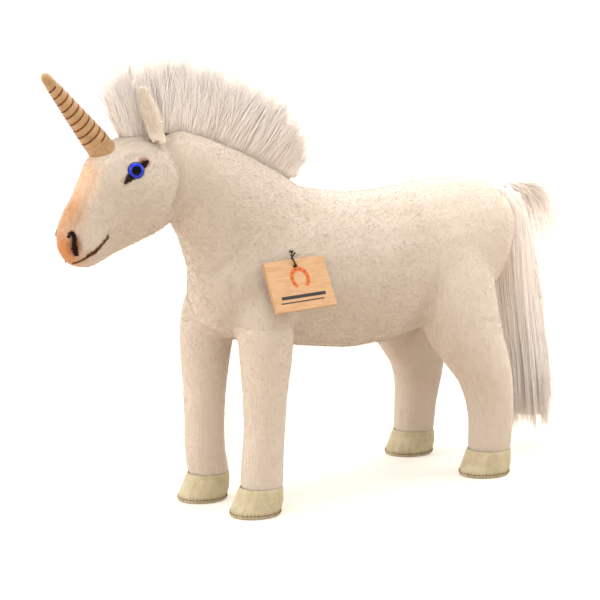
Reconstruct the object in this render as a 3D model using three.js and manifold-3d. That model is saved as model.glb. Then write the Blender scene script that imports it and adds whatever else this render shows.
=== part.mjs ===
// A standing plush unicorn: sewn skin panels round firm fibre filling, suede hooves, glass-style safety eyes,
// a stuffed horn wound with thread, long pile for the mane and tail, and a wooden swing tag on a cord.
// Millimetres. X points forward (to the nose), Y to the unicorn's left and Z up. The floor is Z = 0.
import * as THREE from "three";
import { mergeVertices } from "three/addons/utils/BufferGeometryUtils.js";
import Module from "manifold-3d";

const wasm = await Module();
wasm.setup();

// ---------------------------------------------------------------- driving dimensions

const GAP = 0.4; // between pieces that lie face to face
const SKIN = 1.8; // plush backing with its short pile pressed flat
const FILL_GAP = 0.7; // between a skin and its filling
const RING_SIDES = 16; // sides of a body section
const SMALL_SIDES = 12; // sides of a small round piece
const LEG_SIDES = 12;

const HEIGHT_AT_BACK = 243; // floor to the low point of the back
const BODY_HALF_WIDTH = 51; // of the barrel
const FRONT_STANCE = 32; // from the middle to a front leg's axis
const HIND_STANCE = 49; // from the middle to a hind leg's axis, at the hoof
const FRONT_LEG_X = 110.5;
const HIND_LEG_X = -124;
const FRONT_LEG_RADIUS = 16.5; // at the cannon
const HIND_LEG_RADIUS = 19;

const NECK_SEAM_X = 174; // the head is sewn to the neck in this plane
const HAUNCH_SEAM_X = -58; // and the hindquarters to the body in this one
const CHEST_SEAM_Z = HEIGHT_AT_BACK - 51; // top of the chest panel
const CHEST_PANEL_X = 74;
const BELLY_HALF_WIDTH = 20;
const BELLY_TOP_Z = HEIGHT_AT_BACK - 93;
const FRONT_LEG_SEAM_Z = HEIGHT_AT_BACK - 97;
const HIND_LEG_FILL_Z = HEIGHT_AT_BACK - 125; // the rump's filling stops here, and the leg's goes on down

const HOOF_HEIGHT = 22;
const HOOF_WALL = 2;
const SOLE = 2.6;

const EYE_DIAMETER = 12.4;
const EYE_DOME = 3.4;
const SHANK_RADIUS = 1.5;
const SHANK_LENGTH = 12;
const WASHER_RADIUS = 5;
const WASHER_THICKNESS = 1.2;
const RUNNING = 0.45; // round the shank, in the skin, washer and filling

const HORN_LENGTH = 70;
const HORN_BASE_RADIUS = 10;
const HORN_TIP_RADIUS = 3.2;
const HORN_PITCH = 49; // degrees above level
const HORN_TURNS = 10;
const HORN_THREAD_RADIUS = 0.5;

const EAR_LENGTH = 42;
const EAR_WIDTH = 14;
const EAR_CLOTH = 1.5;
const EAR_LINING = 1.2;

const TAG_WIDTH = 53;
const TAG_HEIGHT = 40;
const TAG_THICKNESS = 3.6;
const TAG_HOLE_RADIUS = 2.2;
const TAG_HOLE_DROP = 6; // hole centre below the board's top edge
const TAG_CORD_RADIUS = 0.75;
const TAG_STANDOFF = 4.2; // from the flank to the board's back face, room for the cord
const TAG_LEAN = 25; // degrees: the board's foot stands out from the flank
const TAG_TURN = 8; // degrees that its face is turned towards the front
const TAG_SPIN = 4; // degrees that it hangs out of square

const MANE_TAPE = 2.4; // thickness of the mane's backing tape

// ---------------------------------------------------------------- colours

const paint = (color, roughness, metalness = 0) =>
  new THREE.MeshStandardMaterial({ color, roughness, metalness });
const COATS = {
  plush: paint(0xe9ddcb, 0.95),
  filling: paint(0xf6f4ee, 1),
  suede: paint(0xc9c09a, 0.9),
  horn: paint(0xd2b98c, 0.85),
  thread: paint(0x7a3a16, 0.8),
  glass: paint(0x0a22b4, 0.08),
  plastic: paint(0xf2f2f2, 0.5),
  pile: paint(0xf4e8dc, 0.9),
  embroidery: paint(0x2a140c, 0.8),
  wood: paint(0xdfbb85, 0.6),
  cord: paint(0x3b1d0f, 0.9),
};

// ---------------------------------------------------------------- solids

const radians = THREE.MathUtils.degToRad;

// A three.js geometry as a manifold-3d solid.
function solid(geometry) {
  const bare = (geometry.index ? geometry.toNonIndexed() : geometry.clone());
  bare.deleteAttribute("normal");
  bare.deleteAttribute("uv");
  const merged = mergeVertices(bare, 1e-4);
  return new wasm.Manifold(
    new wasm.Mesh({
      numProp: 3,
      vertProperties: merged.attributes.position.array,
      triVerts: new Uint32Array(merged.index.array),
    }),
  );
}

const group = new THREE.Group();

// Adds a solid to the model as one named mesh. A cut can leave a crumb beside the piece, which is dropped.
function piece(name, made, coat) {
  const mesh = made.decompose().reduce((most, body) => (body.volume() > most.volume() ? body : most)).getMesh();
  const geometry = new THREE.BufferGeometry()
    .setAttribute("position", new THREE.BufferAttribute(Float32Array.from(mesh.vertProperties), 3))
    .setIndex(new THREE.BufferAttribute(Uint32Array.from(mesh.triVerts), 1));
  geometry.computeVertexNormals();
  const node = new THREE.Mesh(geometry, COATS[coat]);
  node.name = name;
  group.add(node);
}

// A block between two corners.
function block(low, high) {
  const size = high.map((v, i) => v - low[i]);
  const middle = high.map((v, i) => (v + low[i]) / 2);
  return solid(new THREE.BoxGeometry(...size).translate(...middle));
}

// A geometry made along +Z, set down with its base at `at` and its axis along `along`.
function placed(geometry, at, along) {
  const turn = new THREE.Quaternion().setFromUnitVectors(new THREE.Vector3(0, 0, 1), along.clone().normalize());
  return geometry.applyQuaternion(turn).translate(at.x, at.y, at.z);
}

// A lathe profile of [radius, height] points, turned about +Z.
function lathed(profile, sides = SMALL_SIDES) {
  const points = profile.map(([r, z]) => new THREE.Vector2(r, z));
  return new THREE.LatheGeometry(points, sides).rotateX(Math.PI / 2);
}

const rod = (radius, from, to, sides = SMALL_SIDES) =>
  lathed([[0, from], [radius, from], [radius, to], [0, to]], sides);

// ---------------------------------------------------------------- lofts

// A loft passes through stations. Each has its centre, the tilt of its travel above level in degrees, and its
// half width, reach up and reach down, measured square to the travel. Travel and reach lie in the XZ plane.
const station = (x, y, z, tilt, halfWidth, up, down = up) => ({ x, y, z, tilt, halfWidth, up, down });

function between(stations, steps) {
  const line = (pick) =>
    new THREE.CatmullRomCurve3(stations.map((s) => new THREE.Vector3(...pick(s))), false, "centripetal");
  const curves = [
    line((s) => [s.x, s.y, s.z]),
    line((s) => [s.halfWidth, s.up, s.down]),
  ];
  const count = (stations.length - 1) * steps;
  return Array.from({ length: count + 1 }, (_, i) => {
    const t = i / count;
    const [centre, reach] = curves.map((c) => c.getPoint(t));
    const at = t * (stations.length - 1);
    const before = Math.min(Math.floor(at), stations.length - 2);
    const tilt = THREE.MathUtils.lerp(stations[before].tilt, stations[before + 1].tilt, at - before);
    return station(centre.x, centre.y, centre.z, tilt, reach.x, reach.y, reach.z);
  });
}

// The closed surface through the stations. `inset` brings it in all round; a negative one grows it.
// `blunt` is how far each end bulges past its last station, as a share of that station's size.
// `turned` is a matrix that moves the whole surface.
function loft(stations, { inset = 0, steps = 2, sides = RING_SIDES, blunt = 0.5, turned = null } = {}) {
  const rings = between(stations, steps);
  const position = [];
  const travel = (s) => [Math.cos(radians(s.tilt)), 0, Math.sin(radians(s.tilt))];
  const point = (s, along, y, rise) => {
    const [cos, , sin] = travel(s);
    return [s.x + along * cos - rise * sin, s.y + y, s.z + along * sin + rise * cos];
  };
  const last = rings.length - 1;
  const size = (s) => (s.halfWidth + s.up + s.down) / 3;
  // How far a ring moves along its travel, and how much smaller it gets, to bring its surface in square to itself.
  const inward = (i) => {
    if (i === 0 || i === last) return [i === 0 ? inset : -inset, inset];
    const [a, b] = [rings[i - 1], rings[i + 1]];
    const slope = (size(b) - size(a)) / Math.hypot(b.x - a.x, b.y - a.y, b.z - a.z);
    return [(inset * slope) / Math.hypot(slope, 1), inset / Math.hypot(slope, 1)];
  };
  const ringPoints = rings.map((s, i) => {
    const [along, tuck] = inward(i);
    return Array.from({ length: sides }, (_, k) => {
      const a = (2 * Math.PI * k) / sides;
      const rise = (Math.sin(a) > 0 ? s.up : s.down) - tuck;
      return point(s, along, (s.halfWidth - tuck) * Math.cos(a), rise * Math.sin(a));
    });
  });
  const pole = (s, sign) => point(s, sign * (blunt * Math.min(s.halfWidth, s.up) - inset), 0, 0);
  const poles = [pole(rings[0], -1), pole(rings[last], 1)];
  const triangle = (a, b, c) => position.push(...a, ...b, ...c);
  for (let k = 0; k < sides; k++) {
    const n = (k + 1) % sides;
    triangle(poles[0], ringPoints[0][n], ringPoints[0][k]);
    for (let i = 0; i < last; i++) {
      const [a, b, c, d] = [ringPoints[i][k], ringPoints[i][n], ringPoints[i + 1][n], ringPoints[i + 1][k]];
      triangle(a, b, c);
      triangle(a, c, d);
    }
    triangle(poles[1], ringPoints[last][k], ringPoints[last][n]);
  }
  const geometry = new THREE.BufferGeometry();
  geometry.setAttribute("position", new THREE.Float32BufferAttribute(position, 3));
  if (turned) geometry.applyMatrix4(turned);
  const made = solid(geometry);
  return made.volume() < 0 ? solid(turnedInsideOut(geometry)) : made;
}

// A turn of `by` degrees about the line through `at` along Y.
const nodding = ({ x, z }, by) =>
  new THREE.Matrix4()
    .makeTranslation(x, 0, z)
    .multiply(new THREE.Matrix4().makeRotationY(radians(by)))
    .multiply(new THREE.Matrix4().makeTranslation(-x, 0, -z));

// What a piece that nods about `at` must keep clear of: the given lofts, met at every angle of its swing.
const swept = (lofts, at, angles) =>
  angles
    .flatMap((by) => lofts.map((stations) =>
      loft(stations, { inset: -GAP, steps: 1, turned: nodding(at, -by) })))
    .reduce((sum, part) => sum.add(part));

function turnedInsideOut(geometry) {
  const a = geometry.attributes.position.array;
  for (let i = 0; i < a.length; i += 9)
    for (let k = 0; k < 3; k++) [a[i + 3 + k], a[i + 6 + k]] = [a[i + 6 + k], a[i + 3 + k]];
  return geometry;
}

// ---------------------------------------------------------------- body stations

const W = BODY_HALF_WIDTH;
const BACK = HEIGHT_AT_BACK;

const TRUNK = [
  station(-173, 0, BACK - 28, 0, 0.34 * W, 13, 15),
  station(-166, 0, BACK - 34, 0, 0.66 * W, 31, 31),
  station(-150, 0, BACK - 43, 0, 0.86 * W, 48, 50),
  station(-122, 0, BACK - 54, 0, 0.98 * W, 63, 62),
  station(-85, 0, BACK - 60, 0, W, 67, 58),
  station(-40, 0, BACK - 65, 0, W + 1, 66, 61),
  station(0, 0, BACK - 67, 0, W + 1, 67, 61),
  station(45, 0, BACK - 66, 0, W - 2, 72, 56),
  station(85, 0, BACK - 65, 0, W - 6, 62, 50),
  station(116, 0, BACK - 65, 0, W - 13, 52, 45),
  station(136, 0, BACK - 66, 0, 0.52 * W, 34, 33),
  station(145, 0, BACK - 67, 0, 0.26 * W, 17, 17),
];

const NECK = [
  station(76, 0, BACK - 53, 44, 0.8 * W, 62, 62),
  station(96, 0, BACK - 36, 49, 0.725 * W, 64, 64),
  station(111, 0, BACK - 16, 48, 0.645 * W, 54, 53),
  station(131, 0, BACK + 2, 39, 0.56 * W, 43, 42),
  station(152, 0, BACK + 16, 27, 0.49 * W, 35, 34),
  station(171, 0, BACK + 22, 14, 0.45 * W, 33, 33),
  station(186, 0, BACK + 21, 4, 0.35 * W, 26, 26),
];

// The head's stations lie along a line that runs forward and down from behind the ears to the lips.
const HEAD_DROP = -38;
const HEAD_START = { x: 190, z: BACK + 15 };
const headStation = (along, halfWidth, up, down) =>
  station(
    HEAD_START.x + along * Math.cos(radians(HEAD_DROP)), 0,
    HEAD_START.z + along * Math.sin(radians(HEAD_DROP)), HEAD_DROP, halfWidth, up, down,
  );
const HEAD = [
  headStation(-25, 16, 21, 24),
  headStation(-12, 23.5, 36, 34),
  headStation(6, 27.5, 43, 36),
  headStation(24, 26.5, 44.5, 32),
  headStation(40, 21, 37.5, 27),
  headStation(54, 17, 31, 22.5),
  headStation(66, 16.5, 27, 19.5),
  headStation(77, 15, 21, 16.5),
  headStation(84, 9.5, 12, 9.5),
];

// A leg stands on its hoof with its reach up pointing forward and its reach down pointing back.
// `step` is how far this leg is set forward of the others, as the toy happens to stand.
const DOWNWARD = -90;
const R = FRONT_LEG_RADIUS;
const H = HIND_LEG_RADIUS;
const SHOULDER = BACK - 68;
const HIP = BACK - 51;
const frontLeg = (side, step, foot) => {
  const at = (dx, share, out, width, reach) =>
    station(FRONT_LEG_X + dx, side * (FRONT_STANCE - out), share * SHOULDER, DOWNWARD, R + width, R + reach);
  const footing = (dx, z, width, reach) =>
    station(FRONT_LEG_X + foot + dx, side * FRONT_STANCE, z, DOWNWARD, R + width, R + reach);
  return [
    at(step - 6, 1, 10, 3, 7),
    at(step - 4, 0.9, 5, 4.5, 7.5),
    at(step - 2.5, 0.81, 2, 5.5, 6.5),
    at(step - 1.5, 0.675, 0, 3.6, 4),
    at(step - 0.5, 0.526, 0, 0.8, 1.2),
    at(step, 0.377, 0, -0.4, -0.2),
    at(0.7 * step + 0.3 * foot, 0.24, 0, -0.2, 0),
    footing(-3.5, HOOF_HEIGHT - 1, 0, 0.4),
    footing(-3, SOLE + GAP + 1.5, -0.5, 0),
  ];
};
const hindLeg = (side, step, foot) => {
  const at = (dx, share, out, width, reach) =>
    station(HIND_LEG_X + dx, side * (HIND_STANCE - out), share * HIP, DOWNWARD, H + width, H + reach);
  const footing = (dx, z, width, reach) =>
    station(HIND_LEG_X + foot + dx, side * HIND_STANCE, z, DOWNWARD, H + width, H + reach);
  return [
    at(34, 1, 19, 3, 21),
    at(32, 0.865, 15, 5.5, 24),
    at(30, 0.74, 11, 6, 22.5),
    at(23 + step, 0.604, 7, 4.5, 19.5),
    at(13 + step, 0.505, 4, 3, 13.5),
    at(5 + step, 0.422, 2, 1.8, 7),
    at(1 + 0.6 * step, 0.333, 1, 0.5, 3),
    at(0.3 * step, 0.24, 0, -0.5, 0.8),
    footing(0.5, HOOF_HEIGHT - 1, -1, -0.5),
    footing(2, SOLE + GAP + 1.5, -1.5, 0),
  ];
};

const LEGS = {
  front_left: { side: 1, front: true, step: -5.5, foot: 1 },
  front_right: { side: -1, front: true, step: 6.5, foot: 6.5 },
  hind_left: { side: 1, front: false, step: 0, foot: 1 },
  hind_right: { side: -1, front: false, step: -8, foot: -1 },
};
const legStations = ({ side, front, step, foot }) => (front ? frontLeg : hindLeg)(side, step, foot);

// Every soft volume of the animal in one solid, brought in by `inset`.
function animal(inset, trimmedLegs) {
  const parts = [
    loft(TRUNK, { inset, sides: RING_SIDES + 4, steps: 1, blunt: 0.35 }),
    loft(NECK, { inset, steps: 1 }),
    loft(HEAD, { inset, steps: 1 }),
    ...Object.values(LEGS).map((leg) => loft(legStations(leg), { inset, sides: LEG_SIDES, steps: 1, blunt: 0 })),
  ];
  return trimmedLegs(parts.reduce((sum, part) => sum.add(part)));
}

const FAR = 600;
const aboveFloor = (made, z) => made.intersect(block([-FAR, -FAR, z], [FAR, FAR, FAR]));
const OUTER = animal(0, (made) => aboveFloor(made, HOOF_HEIGHT + GAP / 2));
const INNER = animal(SKIN, (made) => made);
const FILLING = animal(SKIN + FILL_GAP, (made) => aboveFloor(made, SOLE + GAP));
const CLEAR_OF_SKIN = animal(-GAP, (made) => made);
const SHELL = OUTER.subtract(INNER);

// ---------------------------------------------------------------- eyes

// The point of the head's surface that a ray from inside reaches, found on the loft's own section.
function onHead(along, share, side) {
  const rings = between(HEAD, 6);
  const cos = Math.cos(radians(HEAD_DROP));
  const sin = Math.sin(radians(HEAD_DROP));
  const reach = (s) => (s.x - HEAD_START.x) * cos + (s.z - HEAD_START.z) * sin;
  const s = rings.reduce((best, r) => (Math.abs(reach(r) - along) < Math.abs(reach(best) - along) ? r : best));
  const angle = Math.asin(share);
  const rise = (share > 0 ? s.up : s.down) * share;
  const at = new THREE.Vector3(s.x - rise * sin, side * s.halfWidth * Math.cos(angle), s.z + rise * cos);
  const out = new THREE.Vector3(
    (-sin * share) / (share > 0 ? s.up : s.down),
    (side * Math.cos(angle)) / s.halfWidth,
    (cos * share) / (share > 0 ? s.up : s.down),
  ).normalize();
  return { at, out };
}

const EYE_ALONG = 13.5;
const EYE_SHARE = 0.5; // how high it sits between the head's middle and its top
const EYE_TOE_IN = 0.12; // eyes look a little forward
const EYE_SINK = 1.2; // the dome's edge beds this far into the pile

function eyeSeat(side) {
  const { at, out } = onHead(EYE_ALONG, EYE_SHARE, side);
  out.x += EYE_TOE_IN;
  out.z -= 0.25; // the eye looks level, and not up along the brow
  out.normalize();
  return { at: at.clone().addScaledVector(out, -EYE_SINK), out };
}

const EYE_R = EYE_DIAMETER / 2;
const domeProfile = (grow) => [
  [EYE_R + grow, -grow],
  [EYE_R + grow, 0.5],
  ...[0.82, 0.55, 0.25].map((share) => [
    (EYE_R + grow) * Math.sqrt(1 - (1 - share) ** 2 * 0 - (share > 0 ? (1 - share) ** 1.4 : 0)),
    0.5 + (EYE_DOME - 0.5 + grow) * (1 - share),
  ]),
  [0, EYE_DOME + grow],
];
const eyeSolid = ({ at, out }) =>
  solid(placed(
    lathed([[0, -SHANK_LENGTH], [SHANK_RADIUS * 0.6, -SHANK_LENGTH], [SHANK_RADIUS, -SHANK_LENGTH + 1.5],
      [SHANK_RADIUS, 0], ...domeProfile(0)], SMALL_SIDES + 4), at, out));
const eyeRoom = ({ at, out }) =>
  solid(placed(rod(EYE_R + GAP, -GAP, 20, SMALL_SIDES + 4), at, out)).add(
    solid(placed(rod(SHANK_RADIUS + RUNNING, -SHANK_LENGTH - GAP, 1), at, out)));
const WASHER_AT = -SKIN - FILL_GAP - 3.5; // behind the dome, hard up against the skin's inside
const washerSolid = ({ at, out }) =>
  solid(placed(lathed([[SHANK_RADIUS + RUNNING, WASHER_AT], [WASHER_RADIUS, WASHER_AT],
    [WASHER_RADIUS, WASHER_AT + WASHER_THICKNESS], [SHANK_RADIUS + RUNNING, WASHER_AT + WASHER_THICKNESS],
    [SHANK_RADIUS + RUNNING, WASHER_AT]], SMALL_SIDES), at, out));
const washerRoom = ({ at, out }) =>
  solid(placed(rod(WASHER_RADIUS + GAP, WASHER_AT - GAP, EYE_DOME), at, out));

const SEATS = { left: eyeSeat(1), right: eyeSeat(-1) };
const EYE_ROOM = eyeRoom(SEATS.left).add(eyeRoom(SEATS.right));
const WASHER_ROOM = washerRoom(SEATS.left).add(washerRoom(SEATS.right));

for (const [name, seat] of Object.entries(SEATS)) {
  piece(`eye_${name}`, eyeSolid(seat), "glass");
  piece(`eye_washer_${name}`, washerSolid(seat), "plastic");
}

// ---------------------------------------------------------------- skin panels

const SEAM = GAP / 2;
const ahead = (x) => block([x, -FAR, -FAR], [FAR, FAR, FAR]);
const behind = (x) => block([-FAR, -FAR, -FAR], [x, FAR, FAR]);
const beside = (side) => (side > 0 ? block([-FAR, SEAM, -FAR], [FAR, FAR, FAR]) : block([-FAR, -FAR, -FAR], [FAR, -SEAM, FAR]));

// The round seam at a front leg's top: the leg's skin lies inside this upright cylinder.
const LEG_SEAM_CLEARANCE = 2.5;
function legSeam(leg, grow) {
  const [, , top] = legStations(leg);
  const radius = top.up + LEG_SEAM_CLEARANCE + grow;
  return solid(rod(radius, -20, FRONT_LEG_SEAM_Z + grow, LEG_SIDES + 6).translate(top.x, top.y, 0));
}
const FRONT_LEGS = ["front_left", "front_right"];
const LEG_HOLES = FRONT_LEGS.map((n) => legSeam(LEGS[n], SEAM)).reduce((a, b) => a.add(b));

const bodySpan = SHELL.intersect(ahead(HAUNCH_SEAM_X + SEAM)).intersect(behind(NECK_SEAM_X - SEAM)).subtract(LEG_HOLES);
const bellyRegion = (grow) =>
  block([HAUNCH_SEAM_X - FAR, -BELLY_HALF_WIDTH - grow, 0], [CHEST_PANEL_X + grow, BELLY_HALF_WIDTH + grow, BELLY_TOP_Z + grow]);
const chestRegion = (grow) => {
  // Seen from ahead the chest panel narrows towards its top, like a shield.
  const half = new THREE.Shape([
    new THREE.Vector2(-FRONT_STANCE - 5 - grow, 0),
    new THREE.Vector2(FRONT_STANCE + 5 + grow, 0),
    new THREE.Vector2(FRONT_STANCE - 12 + grow, CHEST_SEAM_Z - 22),
    new THREE.Vector2(0, CHEST_SEAM_Z + grow * 1.6),
    new THREE.Vector2(-FRONT_STANCE + 12 - grow, CHEST_SEAM_Z - 22),
  ]);
  const slab = new THREE.ExtrudeGeometry(half, { depth: FAR, bevelEnabled: false });
  return solid(slab.rotateX(Math.PI / 2).rotateZ(Math.PI / 2).translate(CHEST_PANEL_X - grow, 0, 0));
};
const sides = bodySpan.subtract(bellyRegion(SEAM)).subtract(chestRegion(SEAM));
piece("body_panel_left", sides.intersect(beside(1)), "plush");
piece("body_panel_right", sides.intersect(beside(-1)), "plush");
piece("belly_gusset", bodySpan.intersect(bellyRegion(-SEAM)), "plush");
piece("chest_panel", bodySpan.intersect(chestRegion(-SEAM)).subtract(bellyRegion(SEAM)), "plush");

for (const name of FRONT_LEGS)
  piece(`${name}_leg_skin`, SHELL.intersect(legSeam(LEGS[name], -SEAM)), "plush");

const quarters = SHELL.intersect(behind(HAUNCH_SEAM_X - SEAM));
for (const name of ["hind_left", "hind_right"])
  piece(`${name}_quarter_skin`, quarters.intersect(beside(LEGS[name].side)), "plush");

// The head: two cheeks and a strip that runs from between the ears down the face to the lips.
const FACE_STRIP_HALF_WIDTH = 11;
const headShell = SHELL.intersect(ahead(NECK_SEAM_X + SEAM)).subtract(EYE_ROOM);
const stripRegion = (grow) => {
  const strip = new THREE.BoxGeometry(FAR, 2 * (FACE_STRIP_HALF_WIDTH + grow), FAR)
    .translate(0, 0, FAR / 2 - grow)
    .rotateY(radians(-HEAD_DROP))
    .translate(HEAD_START.x, 0, HEAD_START.z);
  return solid(strip);
};
piece("face_strip", headShell.intersect(stripRegion(-SEAM)), "plush");
const cheeks = headShell.subtract(stripRegion(SEAM));
piece("cheek_left", cheeks.intersect(beside(1)), "plush");
piece("cheek_right", cheeks.intersect(beside(-1)), "plush");

// ---------------------------------------------------------------- filling

const headFill = FILLING.intersect(ahead(NECK_SEAM_X + SEAM)).subtract(EYE_ROOM).subtract(WASHER_ROOM);
piece("head_filling", headFill, "filling");
piece("body_filling",
  FILLING.intersect(ahead(HAUNCH_SEAM_X + SEAM)).intersect(behind(NECK_SEAM_X - SEAM)).subtract(LEG_HOLES), "filling");
for (const name of FRONT_LEGS)
  piece(`${name}_leg_filling`, FILLING.intersect(legSeam(LEGS[name], -SEAM)), "filling");
const hindFill = FILLING.intersect(behind(HAUNCH_SEAM_X - SEAM));
piece("rump_filling", aboveFloor(hindFill, HIND_LEG_FILL_Z + SEAM), "filling");
for (const name of ["hind_left", "hind_right"]) {
  const below = hindFill.intersect(block([-FAR, -FAR, 0], [FAR, FAR, HIND_LEG_FILL_Z - SEAM]));
  piece(`${name}_leg_filling`, below.intersect(beside(LEGS[name].side)), "filling");
}

// ---------------------------------------------------------------- hooves

// A hoof's wall slopes forward from the leg's end to a longer sole.
function hoofStations(leg) {
  const leg4 = legStations(leg).at(-2);
  const reachOut = leg.front ? 5 : 5.5;
  const forward = leg.front ? 5.5 : 5;
  const width = leg4.halfWidth + 1.2;
  return [
    station(leg4.x, leg4.y, HOOF_HEIGHT - GAP / 2, DOWNWARD, leg4.halfWidth + 0.6, leg4.up + 0.6),
    station(leg4.x + 0.5 * forward, leg4.y, 0.5 * HOOF_HEIGHT, DOWNWARD, width + 0.6, leg4.up + 0.62 * reachOut),
    station(leg4.x + forward, leg4.y, SOLE + GAP / 2, DOWNWARD, width + 1.2, leg4.up + reachOut, leg4.up + 0.6 * reachOut),
  ];
}
const HOOF_SIDES = 16;
for (const [name, leg] of Object.entries(LEGS)) {
  const stations = hoofStations(leg);
  const outside = loft(stations, { sides: HOOF_SIDES, blunt: 0, steps: 1 });
  const longer = [{ ...stations[0], z: stations[0].z + 3 }, stations[1], { ...stations[2], z: 0 }];
  const inside = loft(longer, { inset: HOOF_WALL, sides: HOOF_SIDES, blunt: 0, steps: 1 });
  const filling = loft(legStations(leg), { inset: SKIN, sides: LEG_SIDES, steps: 1, blunt: 0 });
  piece(`${name}_hoof_wall`, outside.subtract(inside).subtract(filling), "suede");
  const foot = stations[2];
  const sole = [station(foot.x, foot.y, SOLE - GAP / 2, DOWNWARD, foot.halfWidth, foot.up, foot.down),
    station(foot.x, foot.y, 0, DOWNWARD, foot.halfWidth - 0.8, foot.up - 0.8, foot.down - 0.8)];
  piece(`${name}_hoof_sole`, loft(sole, { sides: HOOF_SIDES, blunt: 0, steps: 1 }), "suede");
}

// ---------------------------------------------------------------- horn

const HORN_AT = new THREE.Vector3(HEAD_START.x + 36.5, 0, HEAD_START.z + 24);
const HORN_AXIS = new THREE.Vector3(Math.cos(radians(HORN_PITCH)), 0, Math.sin(radians(HORN_PITCH)));
const HORN_COVER = 1.2;
const HORN_SIDES = 10;
const hornRadius = (t) => THREE.MathUtils.lerp(HORN_BASE_RADIUS, HORN_TIP_RADIUS, t);
const HORN_TIP_ROUND = 3;
const hornProfile = (inset) => [
  [0, -8],
  [hornRadius(-8 / HORN_LENGTH) - inset, -8],
  [hornRadius(0) - inset, 0],
  [hornRadius(0.95) - inset, 0.95 * HORN_LENGTH],
  [HORN_TIP_RADIUS * 0.62 - inset * 0.62, HORN_LENGTH + HORN_TIP_ROUND * 0.4 - inset],
  [0, HORN_LENGTH + HORN_TIP_ROUND * 0.6 - inset],
];
const hornBody = (inset) => solid(placed(lathed(hornProfile(inset), HORN_SIDES), HORN_AT, HORN_AXIS)).subtract(CLEAR_OF_SKIN);
const hornInside = solid(placed(lathed(hornProfile(HORN_COVER), HORN_SIDES), HORN_AT, HORN_AXIS));
piece("horn_cover", hornBody(0).subtract(hornInside), "horn");
piece("horn_filling", hornBody(HORN_COVER + FILL_GAP), "filling");

// The thread is wound round the horn from its foot towards its tip, at an even pitch.
const THREAD_FROM = 0.13;
const THREAD_TO = 0.86;
const HORN_ROUND = new THREE.Vector3(0, 1, 0);
const HORN_SIDEWAYS = new THREE.Vector3().crossVectors(HORN_AXIS, HORN_ROUND);
class Winding extends THREE.Curve {
  // Its steps are even in angle, so that each one ends over a corner of the horn.
  getUtoTmapping(u) {
    return u;
  }

  getPoint(t) {
    const share = THREE.MathUtils.lerp(THREAD_FROM, THREAD_TO, t);
    const turn = 2 * Math.PI * (HORN_TURNS - 1) * t;
    const radius = hornRadius(share) + HORN_THREAD_RADIUS + GAP;
    return HORN_AT.clone()
      .addScaledVector(HORN_AXIS, share * HORN_LENGTH)
      .addScaledVector(HORN_ROUND, radius * Math.cos(turn))
      .addScaledVector(HORN_SIDEWAYS, radius * Math.sin(turn));
  }
}
const roundSection = (radius, sides) =>
  new THREE.Shape(Array.from({ length: sides }, (_, k) => {
    const a = (2 * Math.PI * k) / sides;
    return new THREE.Vector2(radius * Math.cos(a), radius * Math.sin(a));
  }));
const wire = (curve, radius, steps, sides) =>
  solid(new THREE.ExtrudeGeometry(roundSection(radius, sides), { steps, extrudePath: curve, bevelEnabled: false }));
piece("horn_thread", wire(new Winding(), HORN_THREAD_RADIUS, HORN_SIDES * (HORN_TURNS - 1), 4), "thread");

// ---------------------------------------------------------------- ears

// An ear is a leaf rolled into an open trough: the outer cloth, and a lining laid inside it.
const EAR_ROLL = 138; // degrees that each half of the leaf wraps from its spine, at its foot
const EAR_ROWS = 6;
const EAR_COLUMNS = 4;
const EAR_FOOT = { x: 188, y: 15, z: BACK + 44 };
const EAR_TILT = { forward: 12, out: 5 };
const EAR_OPENS = 40; // degrees outward from dead ahead
const earRadius = (t) => 0.5 * EAR_WIDTH * (0.72 + 0.28 * Math.sin(Math.PI * Math.min(1, 0.1 + t * 0.6))) * (1 - t ** 5);
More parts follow.
